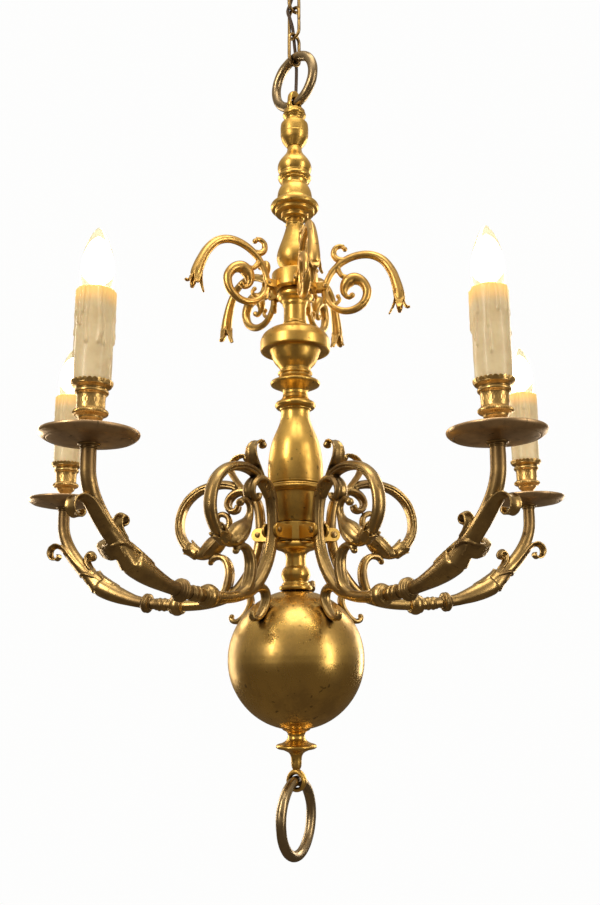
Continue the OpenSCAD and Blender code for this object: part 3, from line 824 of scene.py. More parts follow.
def fork_cheek(root, end, z_mid, y_mid, thick, tall, hole_r):
    """A D-ended plate with a hole for the screw, in the plane of an arm."""
    half = tall / 2
    middle_x = end - half
    round_by = 0.7
    rings = []
    for a in turns(64):
        c, s = math.cos(a), math.sin(a)
        far = half if c >= 0 else min(half / max(abs(s), 1e-6), (middle_x - root) / max(-c, 1e-6))
        ring = []
        for rim in (-90, -45, 0, 45, 90):
            cut = round_by * (1 - math.cos(math.radians(rim)))
            y = y_mid + (thick / 2 - (0 if abs(rim) == 90 else round_by * 0.4)) * math.sin(math.radians(rim))
            ring.append((middle_x + far * c - cut * c, y, z_mid + far * s - cut * s))
        for y in (y_mid + thick / 2, y_mid - thick / 2):
            ring.append((middle_x + hole_r * c, y, z_mid + hole_r * s))
        rings.append(ring)
    return skin(rings, closed=True)


def hub(name, outline, angles, root, end, pin, gap, thick, tall, hole_r):
    """A plain band with two cheeks for each arm or scroll. gap is half the room between them."""
    inside_band = 3
    shapes = [lathe(outline, 112)]
    for angle in angles:
        for side in (-1, 1):
            cheek = fork_cheek(root - inside_band, end, pin.z, side * (gap + thick / 2), thick, tall, hole_r)
            shapes.append(moved(cheek, about_z(angle - 90)))
    belongs(piece(name + "_band", merge(*shapes), GOLD, at_pans()), "column", "polished_brass", name)


def screws(angles, pin, half, shank_r, head_r):
    """Cross screws with a domed head on one side and a smaller one on the other."""
    shapes = []
    shank = lathe([(0.4, -half - 0.6), (shank_r * 0.8, -half - 0.5), (shank_r, -half), (shank_r, half),
                   (0.4, half)], 24)
    head = [(shank_r * 0.9, 0), (head_r, 0), (head_r, 0.7), (head_r * 0.8, 1.8), (0.5, 2.3)]
    clear = 0.05
    for angle in angles:
        turn = about_z(angle - 90) @ Matrix.Translation(pin)
        along = turn @ Matrix.Rotation(math.radians(90), 4, "X")
        shapes.append(moved(shank, along))
        for flip, scale in ((180, 0.8), (0, 1.0)):
            cap = lathe([(a * scale, b * scale) for a, b in head], 32)
            turned = along @ Matrix.Rotation(math.radians(flip), 4, "X")
            shapes.append(moved(cap, turned @ Matrix.Translation((0, 0, half + clear))))
    return merge(*shapes)


def hubs_and_screws():
    """The two hubs, and the screws that hold the scrolls and the arms in them."""
    upper = [
        (6, 271.2), (29, 271.2), (31, 271.8), (31.6, 273), (31.6, 294.8), (31, 296.4), (29, 297), (6, 297)]
    lower = [(6, -70), (24.4, -70), (25.4, -69), (25.6, -67.6), (25.6, -47.6), (25.2, -46), (24.2, -45.4),
             (6, -45.4)]
    hub("upper_hub", upper, SCROLL_ANGLES, root=29.8, end=47, pin=SCROLL_PIN,
        gap=4.4, thick=2.6, tall=11, hole_r=2.1)
    hub("lower_hub", lower, ARM_ANGLES, root=25.6, end=57, pin=ARM_PIN,
        gap=7.2, thick=4, tall=18, hole_r=2.6)
    both = merge(screws(ARM_ANGLES, ARM_PIN, 11.2, 2.4, 4.5), screws(SCROLL_ANGLES, SCROLL_PIN, 7, 1.9, 3.2))
    belongs(piece("hub_screw_set", both, AGED, at_pans()), "column", "aged_brass", "hub_screws")


# ---- Arms ------------------------------------------------------------------------------------------------
# Points are (distance from the axis, height, sizes...) in the plane of the arm.

ARM_TUBE = [
    (343, -5, 8.4), (343, -9, 7.8), (343, -22, 8), (342, -38, 8), (337, -54, 8.2), (328, -70, 8.6),
    (316, -85, 9), (303, -98, 9.2), (290, -108, 9.4), (274, -119, 9), (254, -129.5, 8.2),
    (234, -136.5, 7.4), (214, -141.5, 7.2), (186, -144.5, 7.2), (160, -146.5, 7.4), (128, -146, 6.8),
    (104, -141.5, 6.6), (88, -135, 6.2)]
BELL = [
    (280.2, -117.2, 11.6), (278.6, -118.4, 12.7), (274, -121, 13), (262, -126.5, 12.2), (248, -132, 10.6),
    (236, -136, 9), (226, -139, 7.9), (214, -141.5, 7.4)]
STEM = [
    (112, -144, 4.8, 6.2), (92, -137.5, 5, 7), (76, -125, 5.2, 8), (61.5, -105, 5.2, 8.6),
    (52.5, -84, 5.2, 8), (48.5, -64, 5, 7), (48, -44, 5, 7.4), (51, -22, 4.8, 8.4), (58.5, -7.5, 4.4, 9),
    (70, -0.5, 4, 9.6), (82, -1.6, 3.6, 9.8), (91, -8.5, 3.2, 9.8), (94, -18, 2.8, 9.6),
    (89, -25.8, 2.6, 9.2), (81.5, -24.8, 2.4, 8.8), (79, -18.5, 2.2, 8)]
VOLUTE = [
    (58, -20, 4.6, 5), (66, -8, 5.4, 6.4), (81, 5, 6, 8), (99, 10.2, 6.2, 8.8), (119, 9, 6.2, 9.2),
    (138, 2.5, 6.2, 9.2), (154, -11.5, 6.2, 9.2), (162.5, -31, 6.2, 9), (162, -52, 6.4, 8.6),
    (151.5, -70, 6.8, 7.8), (138, -79.5, 7, 7.2), (126, -81, 7, 7)]
BUD = [
    (136, -80.5, 7), (128, -79.6, 9.2), (119.5, -75, 12.2), (111, -68.5, 12.8), (103, -61.5, 10.2),
    (96.6, -54, 6.8), (92.6, -46, 5), (92, -38, 4.4), (95.5, -31.6, 4), (102.5, -28.8, 3.8), (109, -31, 3.4)]
CURL = [
    (112, -143.5, 5, 6.2), (98, -134, 5, 7.4), (91.5, -118, 5, 8), (90.5, -103, 4.6, 7.8), (95, -91, 4, 7),
    (103, -85.4, 3.2, 6.4), (112, -86, 2.8, 5.8), (117.5, -90.5, 2.6, 5)]
HOOK = [
    (100, -139.5, 5.6, 6.4), (86, -134, 5, 6.8), (73, -131.3, 4.4, 7), (63.5, -135, 3.8, 7),
    (60.6, -143.5, 3.4, 6.8), (63, -152, 3.1, 6.6), (67.8, -159.4, 2.9, 6.4), (73.6, -165.4, 2.7, 6.2),
    (80, -168.6, 2.5, 5.6), (85.4, -167.4, 2.3, 4.6), (87.6, -163.6, 2.1, 3.6), (86.4, -160.4, 1.8, 2.6)]


def band_section(sides=36, relief=1.5):
    """A flat band with a rib along its middle and a rolled rim on each edge.

    p[3] and p[4] are half its thickness and half its width.
    """
    def section(p, share):
        out = []
        for a in turns(sides):
            u, v = math.cos(a), math.sin(a)
            flat = math.copysign(abs(u) ** 0.6, u) * p[3]
            wide = math.copysign(abs(v) ** 0.85, v) * p[4]
            rims = math.exp(-((abs(v) - 0.84) / 0.15) ** 2)
            rib = relief * (0.8 * math.exp(-(v / 0.2) ** 2) + rims - 0.85)
            out.append((flat + math.copysign(rib, u) * min(1, abs(u) * 2), wide))
        return out
    return section


def volute_section(p, share):
    """An oval tube, grooved on its inner side. p[3] and p[4] are half its size in the plane and across it."""
    out = []
    for a in turns(48):
        inward, wide = math.cos(a), math.sin(a)
        r = 1 - 0.26 * math.exp(-((inward - 0.22) / 0.12) ** 2) - 0.22 * math.exp(-((inward - 1) / 0.12) ** 2)
        out.append((p[3] * inward * r, p[4] * wide * r))
    return out


def scallops(centre, along, r, length, petals, flare, thick):
    """A calyx: a short cup along a direction, whose rim ends in round petals that flare out."""
    along = Vector(along).normalized()
    n, b = across(along, Y)
    rings_out, rings_in = [], []
    rows = 9
    for i in range(rows + 1):
        t = i / rows
        outer, inner = [], []
        for a in turns(petals * 10):
            lobe = abs(math.cos(petals * a / 2)) ** 0.55
            reach = length * (t if t < 0.4 else 0.4 + (t - 0.4) * (0.15 + 0.85 * lobe))
            radius = r + flare * t ** 3 * (0.4 + 0.6 * lobe) + 0.9 * math.exp(-((t - 0.95) / 0.12) ** 2)
            way = n * math.cos(a) + b * math.sin(a)
            outer.append(Vector(centre) + along * reach + way * radius)
            inner.append(Vector(centre) + along * reach + way * max(0.5, radius - thick))
        rings_out.append(outer)
        rings_in.append(inner)
    return skin(rings_out + rings_in[::-1], closed=True)


def two_sided(lower):
    """An outline whose upper half mirrors its lower one. A point at height 0 is on both and stays single."""
    return lower + [(r, -z, *rounding) for r, z, *rounding in reversed(lower) if z]


def collar(x, z, slope, outline):
    """A turned ring round the arm's tube at (x, z). slope is the tube's angle from level, in degrees."""
    matrix = Matrix.Translation((x, 0, z)) @ Matrix.Rotation(math.radians(90 - slope), 4, "Y")
    return moved(lathe(outline, 56, 0.35), matrix)


# The bell's mouth, the arm's direction there, and the direction square to it on the arm's underside.
MOUTH = Vector((285, 0, -116.8))
OUTWARDS = Vector((0.65, 0, 0.76))
UNDER = Vector((0.76, 0, -0.65))


def by_mouth(s, under, side):
    """A place near the bell's mouth: s along the arm, and how far under it and to its side."""
    return MOUTH + OUTWARDS * s + UNDER * under + Y * side


def cuff():
    """The leaf that wraps the arm beyond the bell and rolls away from it on one side, with its raised rim."""
    rim = [
        (-3, 128, 10.2), (5, 138, 10), (11, 122, 9.9), (16.5, 102, 10), (21.5, 84, 10.2), (24.6, 60, 10.5),
        (25.6, 30, 10.9), (25.6, 0, 11.4), (25.4, -30, 12.6), (24.8, -58, 14.6), (23.5, -76, 17.6),
        (20.5, -85, 20.4), (16.5, -86, 21), (14.5, -82, 18.6)]
    points = [by_mouth(s, r * math.cos(math.radians(a)), r * math.sin(math.radians(a))) for s, a, r in rim]
    edge = sweep([(*p, 1.6) for p in smooth([tuple(p) for p in points], 6)], round_section(12), OUTWARDS)
    roll = [
        (15.8, 6, 7.6, 6.6), (16, 8.8, 1.4, 7.2), (16.4, 10.2, -6, 7.6), (17, 9.8, -12, 7.6),
        (17.6, 8.2, -18, 7.4), (18, 5.4, -23.4, 7.2), (18.2, 1.2, -26.4, 7), (18.2, -3.4, -26, 6.8),
        (18, -6, -22, 6.4)]
    blade = [(*by_mouth(s, under, side), width) for s, under, side, width in roll]
    filling = [(9.8, 5.2), (11.2, 7), (18, 7.6), (24.4, 7), (25.8, 5.2)]
    core = sweep([(*by_mouth(s, 1.6, -20.6), r) for s, r in filling], round_section(20))
    sleeve = [(-5, 10.8), (6, 9.9), (14, 9.6), (20, 9.8)]
    shell = sweep([(*by_mouth(s, 0.4, 0), r) for s, r in sleeve], round_section(28))
    return [edge, leaf(blade, OUTWARDS, 3.2, 0.1, 0.5), core, shell]


def arm_leaves():
    """The leaves of the outer arm: one outwards and one inwards, with rolled tips, and the bell's tooth."""
    outward = leaf([
        (311, 0, -102, 8.6), (321, 0, -92, 9.4), (330.6, 0, -81, 9.6), (338.6, 0, -71, 9.4),
        (344.8, 0, -64.6, 8.8), (351.6, 0, -62.2, 8.1), (357.6, 0, -64.8, 7.7), (359.8, 0, -70.6, 7.4),
        (357.6, 0, -76.6, 7), (352.4, 0, -79, 6.6), (348, 0, -76, 6), (348.8, 0, -72.2, 5.4)], Y, 3.3,
        (-0.95, -0.05), 0.8)
    inward = leaf([
        (289, 0, -107, 7), (297, 0, -99, 8), (303, 0, -91, 8.4), (305.8, 0, -82.6, 8.2), (304, 0, -75.6, 8),
        (299, 0, -71.2, 7.8), (293.4, 0, -72.4, 7.6), (291, 0, -77.4, 7.4), (293.6, 0, -82, 7),
        (297.8, 0, -82, 6.4)], Y, 3.0, (-0.8, -0.02), 0.7)
    tooth = leaf([
        (254, 0, -121, 6), (262, 0, -117, 7.6), (271, 0, -111, 7.6), (278.6, 0, -104.6, 5.8),
        (284.6, 0, -99, 3)], Y, 4.4, (-0.5, -0.1), 0.5)
    return [outward, inward, tooth]


def arm_rings():
    """The turned rings of an arm. They stay as crisp as the lathe leaves them."""
    ring = [
        (6, -7), (8, -7), (8.8, -6.4), (9.2, -5.2), (10.4, -4.8), (12.4, -3.4, 1), (13, -1.4, 0.8),
        (11.9, -0.4), (11.9, 0.4), (13, 1.4, 0.8), (12.4, 3.4, 1), (10.6, 4.6), (10.2, 5.6), (8.8, 6.2),
        (8, 7.2), (6, 7.2)]
    knop = two_sided([(6, -10), (8, -10), (9, -9), (10.6, -8.6), (11.4, -7.6, 0.6), (11, -6.4), (11.6, -5.8),
                      (13.2, -3, 2), (13.6, 0, 2)])
    waist = two_sided([(6, -9), (7.9, -9), (7.9, -5.4), (8.9, -4.2, 0.6), (8.9, -2.8, 0.6), (8, -1.6)])
    socket = [
        (5, -12), (8.2, -12), (9, -11), (8.4, -9.8), (8.6, -8.8), (10.4, -8.2), (11.4, -7.2, 0.5),
        (11.4, -6.4), (10.6, -5.9), (5, -5.9)]
    rings = [collar(208, -142.3, 8, ring), collar(164, -146.3, 2, knop), collar(186, -144.6, 4, waist)]
    return [*rings, moved(lathe(socket, 56, 0.3), Matrix.Translation((343, 0, 0)))]


def arm_mesh():
    """One arm, cast in one piece."""
    branches = [sweep(in_plane(path, steps), section) for path, steps, section in (
        (ARM_TUBE, 6, round_section(22)), (BELL, 6, round_section(32)), (STEM, 7, band_section()),
        (VOLUTE, 8, volute_section), (BUD, 6, round_section(24, 0.94)), (CURL, 6, band_section(30, 1.2)),
        (HOOK, 6, band_section(30, 1.1)))]
    calyx = scallops((136, 0, -80.4), (0.8, 0, 0.56), 9.2, 19, 6, 1.6, 2.4)
    seams = []
    for s in (-1, 1):
        seam = [(125, s * 9.4, -84, 1.2), (117, s * 12, -76, 1.3), (108, s * 11.4, -67, 1.2),
                (99, s * 7.6, -57, 1)]
        seams.append(sweep(smooth(seam, 5), round_section(8)))
    top_leaf = leaf([
        (58, 0, -14, 5), (68, 0, 0, 7.6), (79, 0, 14, 9.6), (86.5, 0, 26, 9.6), (87.5, 0, 36, 8.4),
        (82, 0, 44, 6.8), (74, 0, 47, 5.4), (68, 0, 45.6, 4.4)], Y, 3.6, 0.38, 1.0)
    knobs = [
        ball_end((110.5, 0, -33.4), 5, 1.15), ball_end((117.5, 0, -92), 3.8, 1.2),
        ball_end((68.5, 0, 44), 4.6, 1.3), ball_end((86.4, 0, -162), 3.2, 1.3)]
    parts = [*branches, calyx, *seams, top_leaf, *knobs, *cuff(), *arm_leaves()]
    return cast("arm_casting", parts, 0.8, 0.42, AGED, 3, merge(*arm_rings()))


def mirrored(mesh):
    """The casting of the other hand."""
    other = mesh.copy()
    other.name = mesh.name + "_mirrored"
    other.transform(Matrix.Scale(-1, 4, Y))
    other.flip_normals()
    return other


# ---- Scrolls ---------------------------------------------------------------------------------------------

ARCH = [
    (40, 262, 3.8), (41.6, 276, 4.2), (49.5, 294, 4.4), (64, 309, 4.6), (83, 317.5, 4.8), (103, 318, 5),
    (120, 309, 5.3), (131.5, 292, 6.0), (137.6, 274, 7.0), (140.6, 258, 7.7), (141.4, 249, 7.0)]
LOW_VOLUTE = [
    (41.6, 278, 4), (42.6, 262, 4), (51, 247.4, 4.2), (65, 240, 4.6), (80, 241, 5.1), (93, 250, 5.6),
    (98.2, 265, 6.1), (92.6, 279, 6.9), (81.5, 285, 8.3), (71.5, 280, 8.4), (67, 270, 5.8),
    (68.6, 262, 3.6), (74, 258.6, 3.2), (78, 261, 3)]
TOP_CURL = [
    (72, 312, 4.4), (60, 314, 4.4), (53.8, 321, 4.2), (55.4, 330.4, 3.8), (62.6, 333.8, 3.3),
    (67.4, 331, 2.9)]
INNER_CURL = [(58, 304, 4), (60.6, 296.4, 3.6), (65, 290, 3.4), (70.6, 288.6, 3.2)]
TINY_CURL = [(49, 249, 3.2), (56, 250.6, 2.8), (60.6, 255.4, 2.6), (59.2, 260.6, 2.4)]


def scroll_mesh():
    """One scroll, cast in one piece: it ends in four small petals."""
    wire = round_section(20)
    branches = [sweep(in_plane(p, 7), wire) for p in (ARCH, LOW_VOLUTE, TOP_CURL, INNER_CURL, TINY_CURL)]
    outer = [(141, 0, 262, 7), (144.4, 0, 252, 6.6), (147, 0, 244, 5.2), (150.6, 0, 239.6, 4),
             (154.6, 0, 240.6, 2.6)]
    inner = [(137, 0, 256, 6.6), (134.6, 0, 247, 5), (131, 0, 239, 3), (126.6, 0, 231.4, 1.5)]
    petals = [leaf(outer, Y, 2.4, -0.3, 0.5), leaf(inner, Y, 2.4, 0.3, 0.5)]
    for s in (-1, 1):
        side_petal = [(140, s * 4, 257, 5.6), (140.6, s * 6, 248, 5), (140.6, s * 7.4, 241, 3.8),
                      (140, s * 10.4, 236.6, 2)]
        petals.append(leaf(side_petal, X, 2.4, 0.25 * s, 0.4))

    def ridge_section(p, share):
        return [(-4.4 - share * 1.3 + 1.1 * math.cos(a), 1.3 * math.sin(a)) for a in turns(10)]
    ridge = sweep(smooth([(x + 0.2, 0, z + 0.2) for x, z, _ in ARCH[2:9]], 6), ridge_section)
    knobs = [
        ball_end((78, 0, 261.4), 3.9, 1.1), ball_end((69, 0, 329), 3.6, 1.2),
        ball_end((66.4, 0, 333.6), 2.6, 1.2), ball_end((58.6, 0, 261), 3.1, 1.2)]
    foot = leaf([
        (40.5, 0, 252, 3.6), (40.5, 0, 262, 3.9), (41.6, 0, 275, 3.9), (44, 0, 285, 3.6)], Y, 5.4, 0, 0.1)
    return cast("scroll_casting", [*branches, *petals, ridge, *knobs, foot], 0.62, 0.34, SCROLL, 2)


# ---- Candles ---------------------------------------------------------------------------------------------

def pan_shape():
    """A shallow dish with a line round its underside and a raised, rolled rim."""
    return lathe([
        (5.1, -6.4), (17, -6.6), (28, -5.8, 6), (36, -4.4, 4), (41.4, -2.9), (42.2, -2.3), (43, -2.9),
        (46.6, -1.0, 2), (49.3, 1.6, 1.4), (50, 3.6, 1), (49.8, 5.0, 0.6), (49, 5.6, 0.5), (48.1, 4.9),
        (46.6, 2.6, 1.4), (43.6, 0.8, 2), (38, -0.9, 3), (24, -2.9), (15, -3.5), (5.1, -3.5)], 128, 0.35,
        closed=True)


def gadroons(angle, r, z):
    """Ribs round the lower bead of a candle cup, and rows of punched dimples round its body.

    The foot and the bore, which are narrower, stay plain.
    """
    narrow = 12
    if r < narrow:
        return 0.0
    ribs = 0.32 * math.cos(45 * angle) * math.exp(-((z - 25) / 2.6) ** 2)
    rows = 0.22 * math.cos(30 * angle) * math.cos(z * 1.9) * math.exp(-((z - 36) / 4.6) ** 4)
    return ribs + rows


def cup_shape():
    """The candle cup, with a scalloped gallery where the wax sleeve stands."""
    body = lathe([
        (5.1, -3.4), (9.6, -3.4), (10.5, -2.4), (10.5, -0.6), (8.8, 0.8, 1), (7.0, 2.6, 1), (6.2, 5),
        (6.2, 11), (7, 13), (9.4, 15.6, 2), (12.2, 18.4, 2), (12.6, 20.6), (14.6, 21.8), *bead(17.6, 25, 3),
        (14.6, 28), (14.2, 29.4), (14.0, 33, 4), (14.1, 39, 4), (14.6, 42.6), (15.4, 43.4),
        *bead(17.2, 46.2, 2.6), (15.6, 48.6), (15.6, 49.4), (17.6, 51.0, 1), (19.6, 52.0), (20.1, 53.2),
        (19.4, 53.9), (11.6, 53.9), (11.5, 22), (5.1, 21.4)], 180, 0.35, closed=True, wobble=gadroons)
    teeth, rows = 26, []
    for r, low, share in ((19.0, 53.6, 0), (20.2, 53.4, 0), (21, 55.0, 0.8), (21.3, 56.2, 1), (20.6, 56.6, 1),
                          (20.2, 55.2, 0.8)):
        ring = []
        for a in turns(teeth * 6):
            tooth = abs(math.cos(teeth * a / 2)) ** 0.7
            ring.append((r * math.cos(a), r * math.sin(a), low + share * 1.9 * tooth - share * 0.8))
        rows.append(ring)
    return merge(body, skin(rows, closed=True))


def wax_shape(seed):
    """A wax sleeve with runs of wax down its side and an uneven, melted top."""
    rng = random.Random(seed)
    foot, top, radius, bore, thickest_run = 54.4, 156.5, 19.2, 14.9, 1.9
    rounding, lead = 3, 3
    ranges = ((0, 2 * math.pi), (0.25, 0.75), (0.9, 1.6), (1.2, 2.0))
    runs = [[rng.uniform(low, high) for low, high in ranges] for _ in range(24)]

    def bulge(a, z):
        share = (z - foot) / (top - foot)
        out = 0.0
        for angle, depth, width, height in runs:
            gap = (a - angle + math.pi) % (2 * math.pi) - math.pi
            arc = gap * radius + 0.8 * math.sin(z * 0.09 + angle * 5)
            end = foot + (1 - depth) * (top - foot)
            if z > end - lead:
                body = height * 0.95 * math.exp(-(arc / width) ** 2)
                drop = height * 0.75 * math.exp(-(arc / (width * 1.25)) ** 2 - ((z - end - 1.5) / 3.2) ** 2)
                fade = min(1, (z - end + lead) / lead)
                out = max(out, body * fade + drop)
        uneven = 0.25 * noise.noise(Vector((math.cos(a) * 2, math.sin(a) * 2, z * 0.05)))
        return min(out, thickest_run) + uneven - 0.5 * (1 - share) ** 6

    rows = []
    angles, steps = turns(144), 84
    for i in range(steps + 1):
        z = foot + (top - foot - rounding) * i / steps
        row = [(radius + bulge(a, z), a) for a in angles]
        rows.append([(r * math.cos(a), r * math.sin(a), z) for r, a in row])
    lip = [(0.4, 1.9), (1.2, 0.6), (2.4, 0.0), (3.4, 0.4), (4.3, 1.8), (4.3, 30), (4.3, top - foot)]
    for inset, drop in lip:
        row = []
        for a in angles:
            melted = 0.9 * noise.noise(Vector((math.cos(a) * 1.6, math.sin(a) * 1.6, seed * 3.1))) - 0.4
            r = max(radius - inset + (bulge(a, top - rounding) * max(0, 1 - inset / 2)), bore)
            z = min(top, top - drop + (melted if drop < 5 else 0))
            row.append((r * math.cos(a), r * math.sin(a), z))
        rows.append(row)
    return skin(rows, closed=True)


def bulb_shapes():
    """The flame-shaped glass, its cap, and the glowing core."""
    glass = lathe([
        (9, 149.4), (12.2, 150.4, 1), (14.4, 153.6, 3), (16, 158, 3), (17, 164, 5), (17.4, 171, 6),
        (17.2, 179, 6), (16.3, 188, 8), (14.8, 197, 8), (12.6, 205, 8), (9.9, 212, 6), (7.0, 218, 4),
        (4.5, 222.2, 3), (2.2, 224.9, 2), (0.8, 225.7)], 64, 1)
    cap = lathe([
        (2.4, 121.6), (4.2, 121.6), (5, 123), (6.9, 125.2),
        *[(6.9 if i % 2 else 6.2, 126.5 + i * 1.6, 0.5) for i in range(12)], (6.9, 147.6), (7, 148.8),
        (11, 149.8), (11.6, 151), (9, 151)], 48, 0.3)
    core = lathe([
        (1.2, 160), (5, 162, 3), (11, 169, 5), (14, 178, 6), (13.6, 187, 6), (10.8, 198, 6), (6.6, 208, 3),
        (0.5, 214)], 40, 1)
    return glass, cap, core


def candles():
    """Pans, cups, wax sleeves and lamps, on all arms."""
    pan, cup = pan_shape(), cup_shape()
    glass, cap, core = bulb_shapes()
    for k in ARMS:
        spot = middle(f"bulb_{k}")
        matrix = Matrix.Translation((spot.x, spot.y, PAN_Z))
        wax = wax_shape(seed=k * 7 + 2)
        lamp = f"bulb_{k}"
        belongs(piece(f"drip_pan_{k}_dish", pan, PAN, matrix), "column", "aged_brass", f"drip_pan_{k}")
        obj = piece(f"candle_cup_{k}_turning", cup, CUP, matrix)
        belongs(obj, "column", "polished_brass", f"candle_cup_{k}")
        belongs(piece(f"wax_sleeve_{k}", wax, WAX, matrix, None), "column", "wax", f"candle_sleeve_{k}")
        belongs(piece(f"{lamp}_glass", glass, GLASS, matrix, None), lamp, "bulb_glass", lamp)
        belongs(piece(f"{lamp}_cap", cap, GOLD, matrix), lamp, "polished_brass")
        belongs(piece(f"{lamp}_glow", core, GLOW, matrix, None), lamp, "bulb_glass")


def arms_and_scrolls():
    """Places the castings. Each scroll is tilted about its screw by its own lift."""
    arm, scroll = arm_mesh(), scroll_mesh()
    other_arm = mirrored(arm)
    for k, angle in zip(ARMS, ARM_ANGLES):
        mesh = other_arm if k in OTHER_HAND else arm
        belongs(place(f"arm_{k}_casting", mesh, at_pans(angle)), "column", "aged_brass", f"arm_{k}")
    for k, angle, lift in zip(ARMS, SCROLL_ANGLES, SCROLL_LIFTS):
        tilt = Matrix.Rotation(math.radians(-lift), 4, "Y")
        tilt = Matrix.Translation(SCROLL_PIN) @ tilt @ Matrix.Translation(-SCROLL_PIN)
        obj = place(f"scroll_{k}_casting", scroll, at_pans(angle) @ tilt)
        belongs(obj, "column", "polished_brass", f"scroll_{k}")


# ---- Suspension ------------------------------------------------------------------------------------------

def hoop(r, tube, count):
    """The path of a ring in the XZ plane, with the radius of its tube at each point."""
    return [(r * math.cos(a), 0, r * math.sin(a), tube) for a in turns(count)]


def ring_shape(r, tube, seed, lumps):
    """A forged ring in its own XZ plane: its section is a little flat in places, as a hammer leaves it."""
    def section(p, share):
        way = Vector((p[0], seed, p[2])) * 0.06
        out = []
        for a in turns(28):
            flat = lumps * (0.5 + noise.noise(way + Vector((math.cos(a), math.sin(a), 0)) * 0.8))
            size = p[3] - max(0.0, flat)
            out.append((size * math.cos(a), size * math.sin(a)))
        return out
    return sweep(hoop(r, tube, 120), section, closed=True)


def rings():
    """The suspension ring and the pull ring."""
    for node, turn, r, tube, seed, lumps, slot in (
            ("top_ring", CHAIN_TURN, TOP_RING_R, TOP_RING_TUBE, 3, 0.5, "polished_brass"),
            ("pull_ring", PULL_TURN, PULL_RING_R, PULL_RING_TUBE, 8, 0.4, "aged_brass")):
        matrix = Matrix.Translation((0, 0, middle(node).z)) @ about_z(turn)
        obj = piece(node + "_forging", ring_shape(r, tube, seed, lumps), RING, matrix, None)
        belongs(obj, node, slot, node)


LINKS = (1, 2, 3)
LINK_WIRE = 2.5
LINK_BEND = 10


def link_shape(half_length):
    """An oval link in its own XZ plane, with the weld on one of its straight sides."""
    path = []
    straight = half_length - LINK_WIRE - LINK_BEND
    bend_steps = 18
    for end in (1, -1):
        for i in range(bend_steps + 1):
            a = math.pi * i / bend_steps
            x, z = end * LINK_BEND * math.cos(a), end * (straight + LINK_BEND * math.sin(a))
            path.append((x, 0, z, LINK_WIRE))
        for i in range(1, 8):
            path.append((-end * LINK_BEND, 0, end * straight * (1 - i / 4), LINK_WIRE))

    def section(p, share):
        weld = 0.22 * math.exp(-((p[2]) / 1.6) ** 2) if p[0] > 0 else 0.0
        flat = 0.12 * (0.5 + noise.noise(Vector(p[:3]) * 0.2))
        return [((p[3] - flat - weld) * math.cos(a), (p[3] - flat - weld) * math.sin(a)) for a in turns(18)]
    return sweep(path, section, closed=True)


def chain():
    """The links: each second one is turned by a right angle."""
    for k in LINKS:
        node = f"chain_link_{k}"
        matrix = Matrix.Translation((0, 0, middle(node).z)) @ about_z(CHAIN_TURN + (0 if k == 2 else 90))
        obj = piece(f"{node}_wire", link_shape(half_height(node)), AGED, matrix, None)
        belongs(obj, node, "aged_brass", node)


def canopy():
    """The pressed canopy with its rolled rim, and the loop below it."""
    h = CANOPY_H
    outline = [
        (5.3, -h), (13, -h), (14.2, -h + 0.5), (18, -h + 0.6), (22, -h + 0.3, 2), (34, -h + 1.6, 6),
        (47, -h + 9, 8), (52.4, -h + 19, 6), (52.8, -9), (53.2, -7), (54.4, -6), (55, -3.4, 1.2),
        (54.4, -0.5), (53.2, -0.5), (52.6, -3), (51.2, -8), (51, -h + 20, 6), (45.6, -h + 10.6, 8),
        (33.4, -h + 3.2, 6), (22, -h + 1.9), (5.3, -h + 1.6)]
    shell = piece("canopy_shell", lathe(outline, 128, 0.4, closed=True), AGED)
    belongs(shell, "root", "aged_brass", "canopy")
    loop_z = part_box("canopy_loop")[0].z / MM + LINK_BEND + LINK_WIRE
    ring = sweep(hoop(LINK_BEND, LINK_WIRE, 48), round_section(18), closed=True)
    ring = moved(ring, Matrix.Translation((0, 0, loop_z)))
    stem = lathe([
        (1, loop_z + 8.6), (3.4, loop_z + 8.8), (4, loop_z + 10.4, 1), (3.8, loop_z + 13),
        (4.6, loop_z + 13.8), (6.5, -h - 3.6), (6.6, -h - 1.2), (6, -h - 0.3), (5, -h), (5, -2.2), (1, -2)],
        48, 0.4)
    both = merge(moved(ring, about_z(CHAIN_TURN)), stem)
    belongs(piece("canopy_loop_stem", both, AGED), "root", "aged_brass", "canopy_loop")


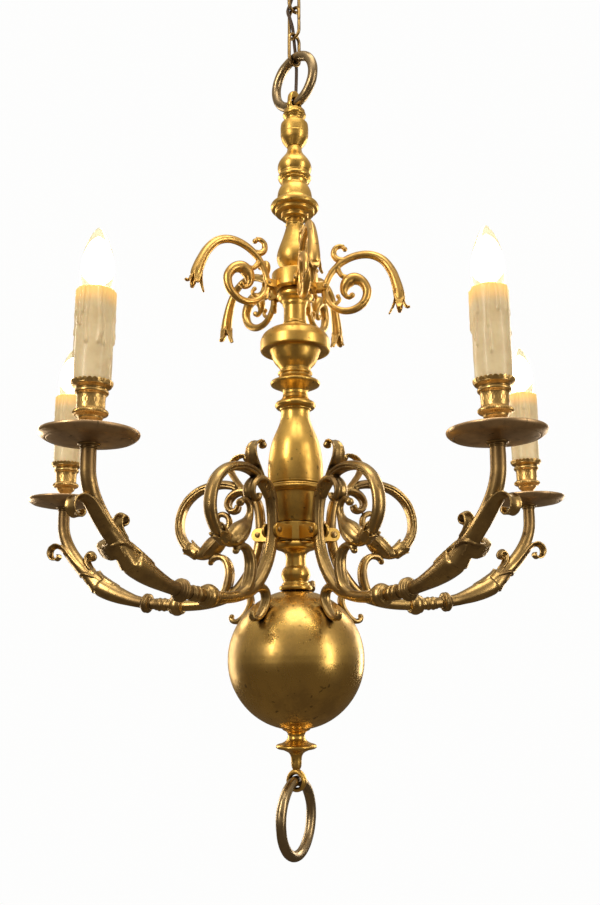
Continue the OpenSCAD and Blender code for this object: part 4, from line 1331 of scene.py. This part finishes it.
# The flex. Its points are (along the first chain plane, along the second, height in the row frame).
# A stretch is (body above, body below, top, bottom, the heights between which it bends).
CORD_D = 5
CORD_ROUTE = [
    (8, -13, -40), (8, -13, -49), (7.5, -11, -58), (6.5, -7.5, -70), (3.5, -5, -82), (0, -4, -93),
    (-3.5, -5, -104), (-6.5, -6.5, -115), (-5, -3.5, -126), (-4, 0, -137), (-5, 3.5, -148),
    (-6.5, 6.5, -160), (-6.5, 8.5, -175), (-6.2, 10, -190), (-6.2, 10.6, -204), (-6.5, 10.6, -220),
    (-7.2, 10.4, -240), (-7.6, 9.8, -262), (-7.6, 9.8, -286)]
CORD_STRETCHES = [
    ("root", "chain_link_1", -40, -93, (-60, -82)),
    ("chain_link_1", "chain_link_2", -93, -137, (-103, -127)),
    ("chain_link_2", "chain_link_3", -137, -182, (-148, -171)),
    ("chain_link_3", "top_ring", -182, -230, (-192, -216)), ("top_ring", "column", -230, -286, (-255, -281))]


def flex():
    """The supply cord, one stretch for each joint that it passes."""
    clear, inside_cad = 0.4, 0.05
    whole = [about_z(CHAIN_TURN) @ Vector(p) for p in smooth(CORD_ROUTE, 12)]
    for k, (above, below, top, bottom, bends) in enumerate(CORD_STRETCHES, 1):
        first, last = [min(whole, key=lambda p, z=z: abs(p.z - z)) for z in (top, bottom)]
        between = [p for p in whole if bottom < p.z < top and last.z + clear < p.z < first.z - clear]
        run = [first, *between, last]
        shape = sweep([(*p, CORD_D / 2 - inside_cad) for p in run], round_section(16), Vector((1, 0.2, 0)))
        name = f"flex_{k}"
        obj = piece(name, shape, FLEX, None, None)
        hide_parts("supply_cord")
        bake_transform(obj)


def plain_nodes():
    """CAD nodes whose shape is right: they get their finish only."""
    finishes = {
        "ceiling_bar": ZINC, "canopy_nut": ZINC, "central_rod": ZINC, "rod_nuts": ZINC, "cord_grip": DARK,
        "cord_bush": DARK, "lampholders": DARK}
    for name, material in finishes.items():
        mesh = frame["nodes"][name].data
        mesh.materials.clear()
        mesh.materials.append(material)


make_camera()
make_world()
make_stage()
flex()
turned_column()
polished_ball()
top_lug()
bottom_eye()
hubs_and_screws()
arms_and_scrolls()
candles()
rings()
chain()
canopy()
plain_nodes()
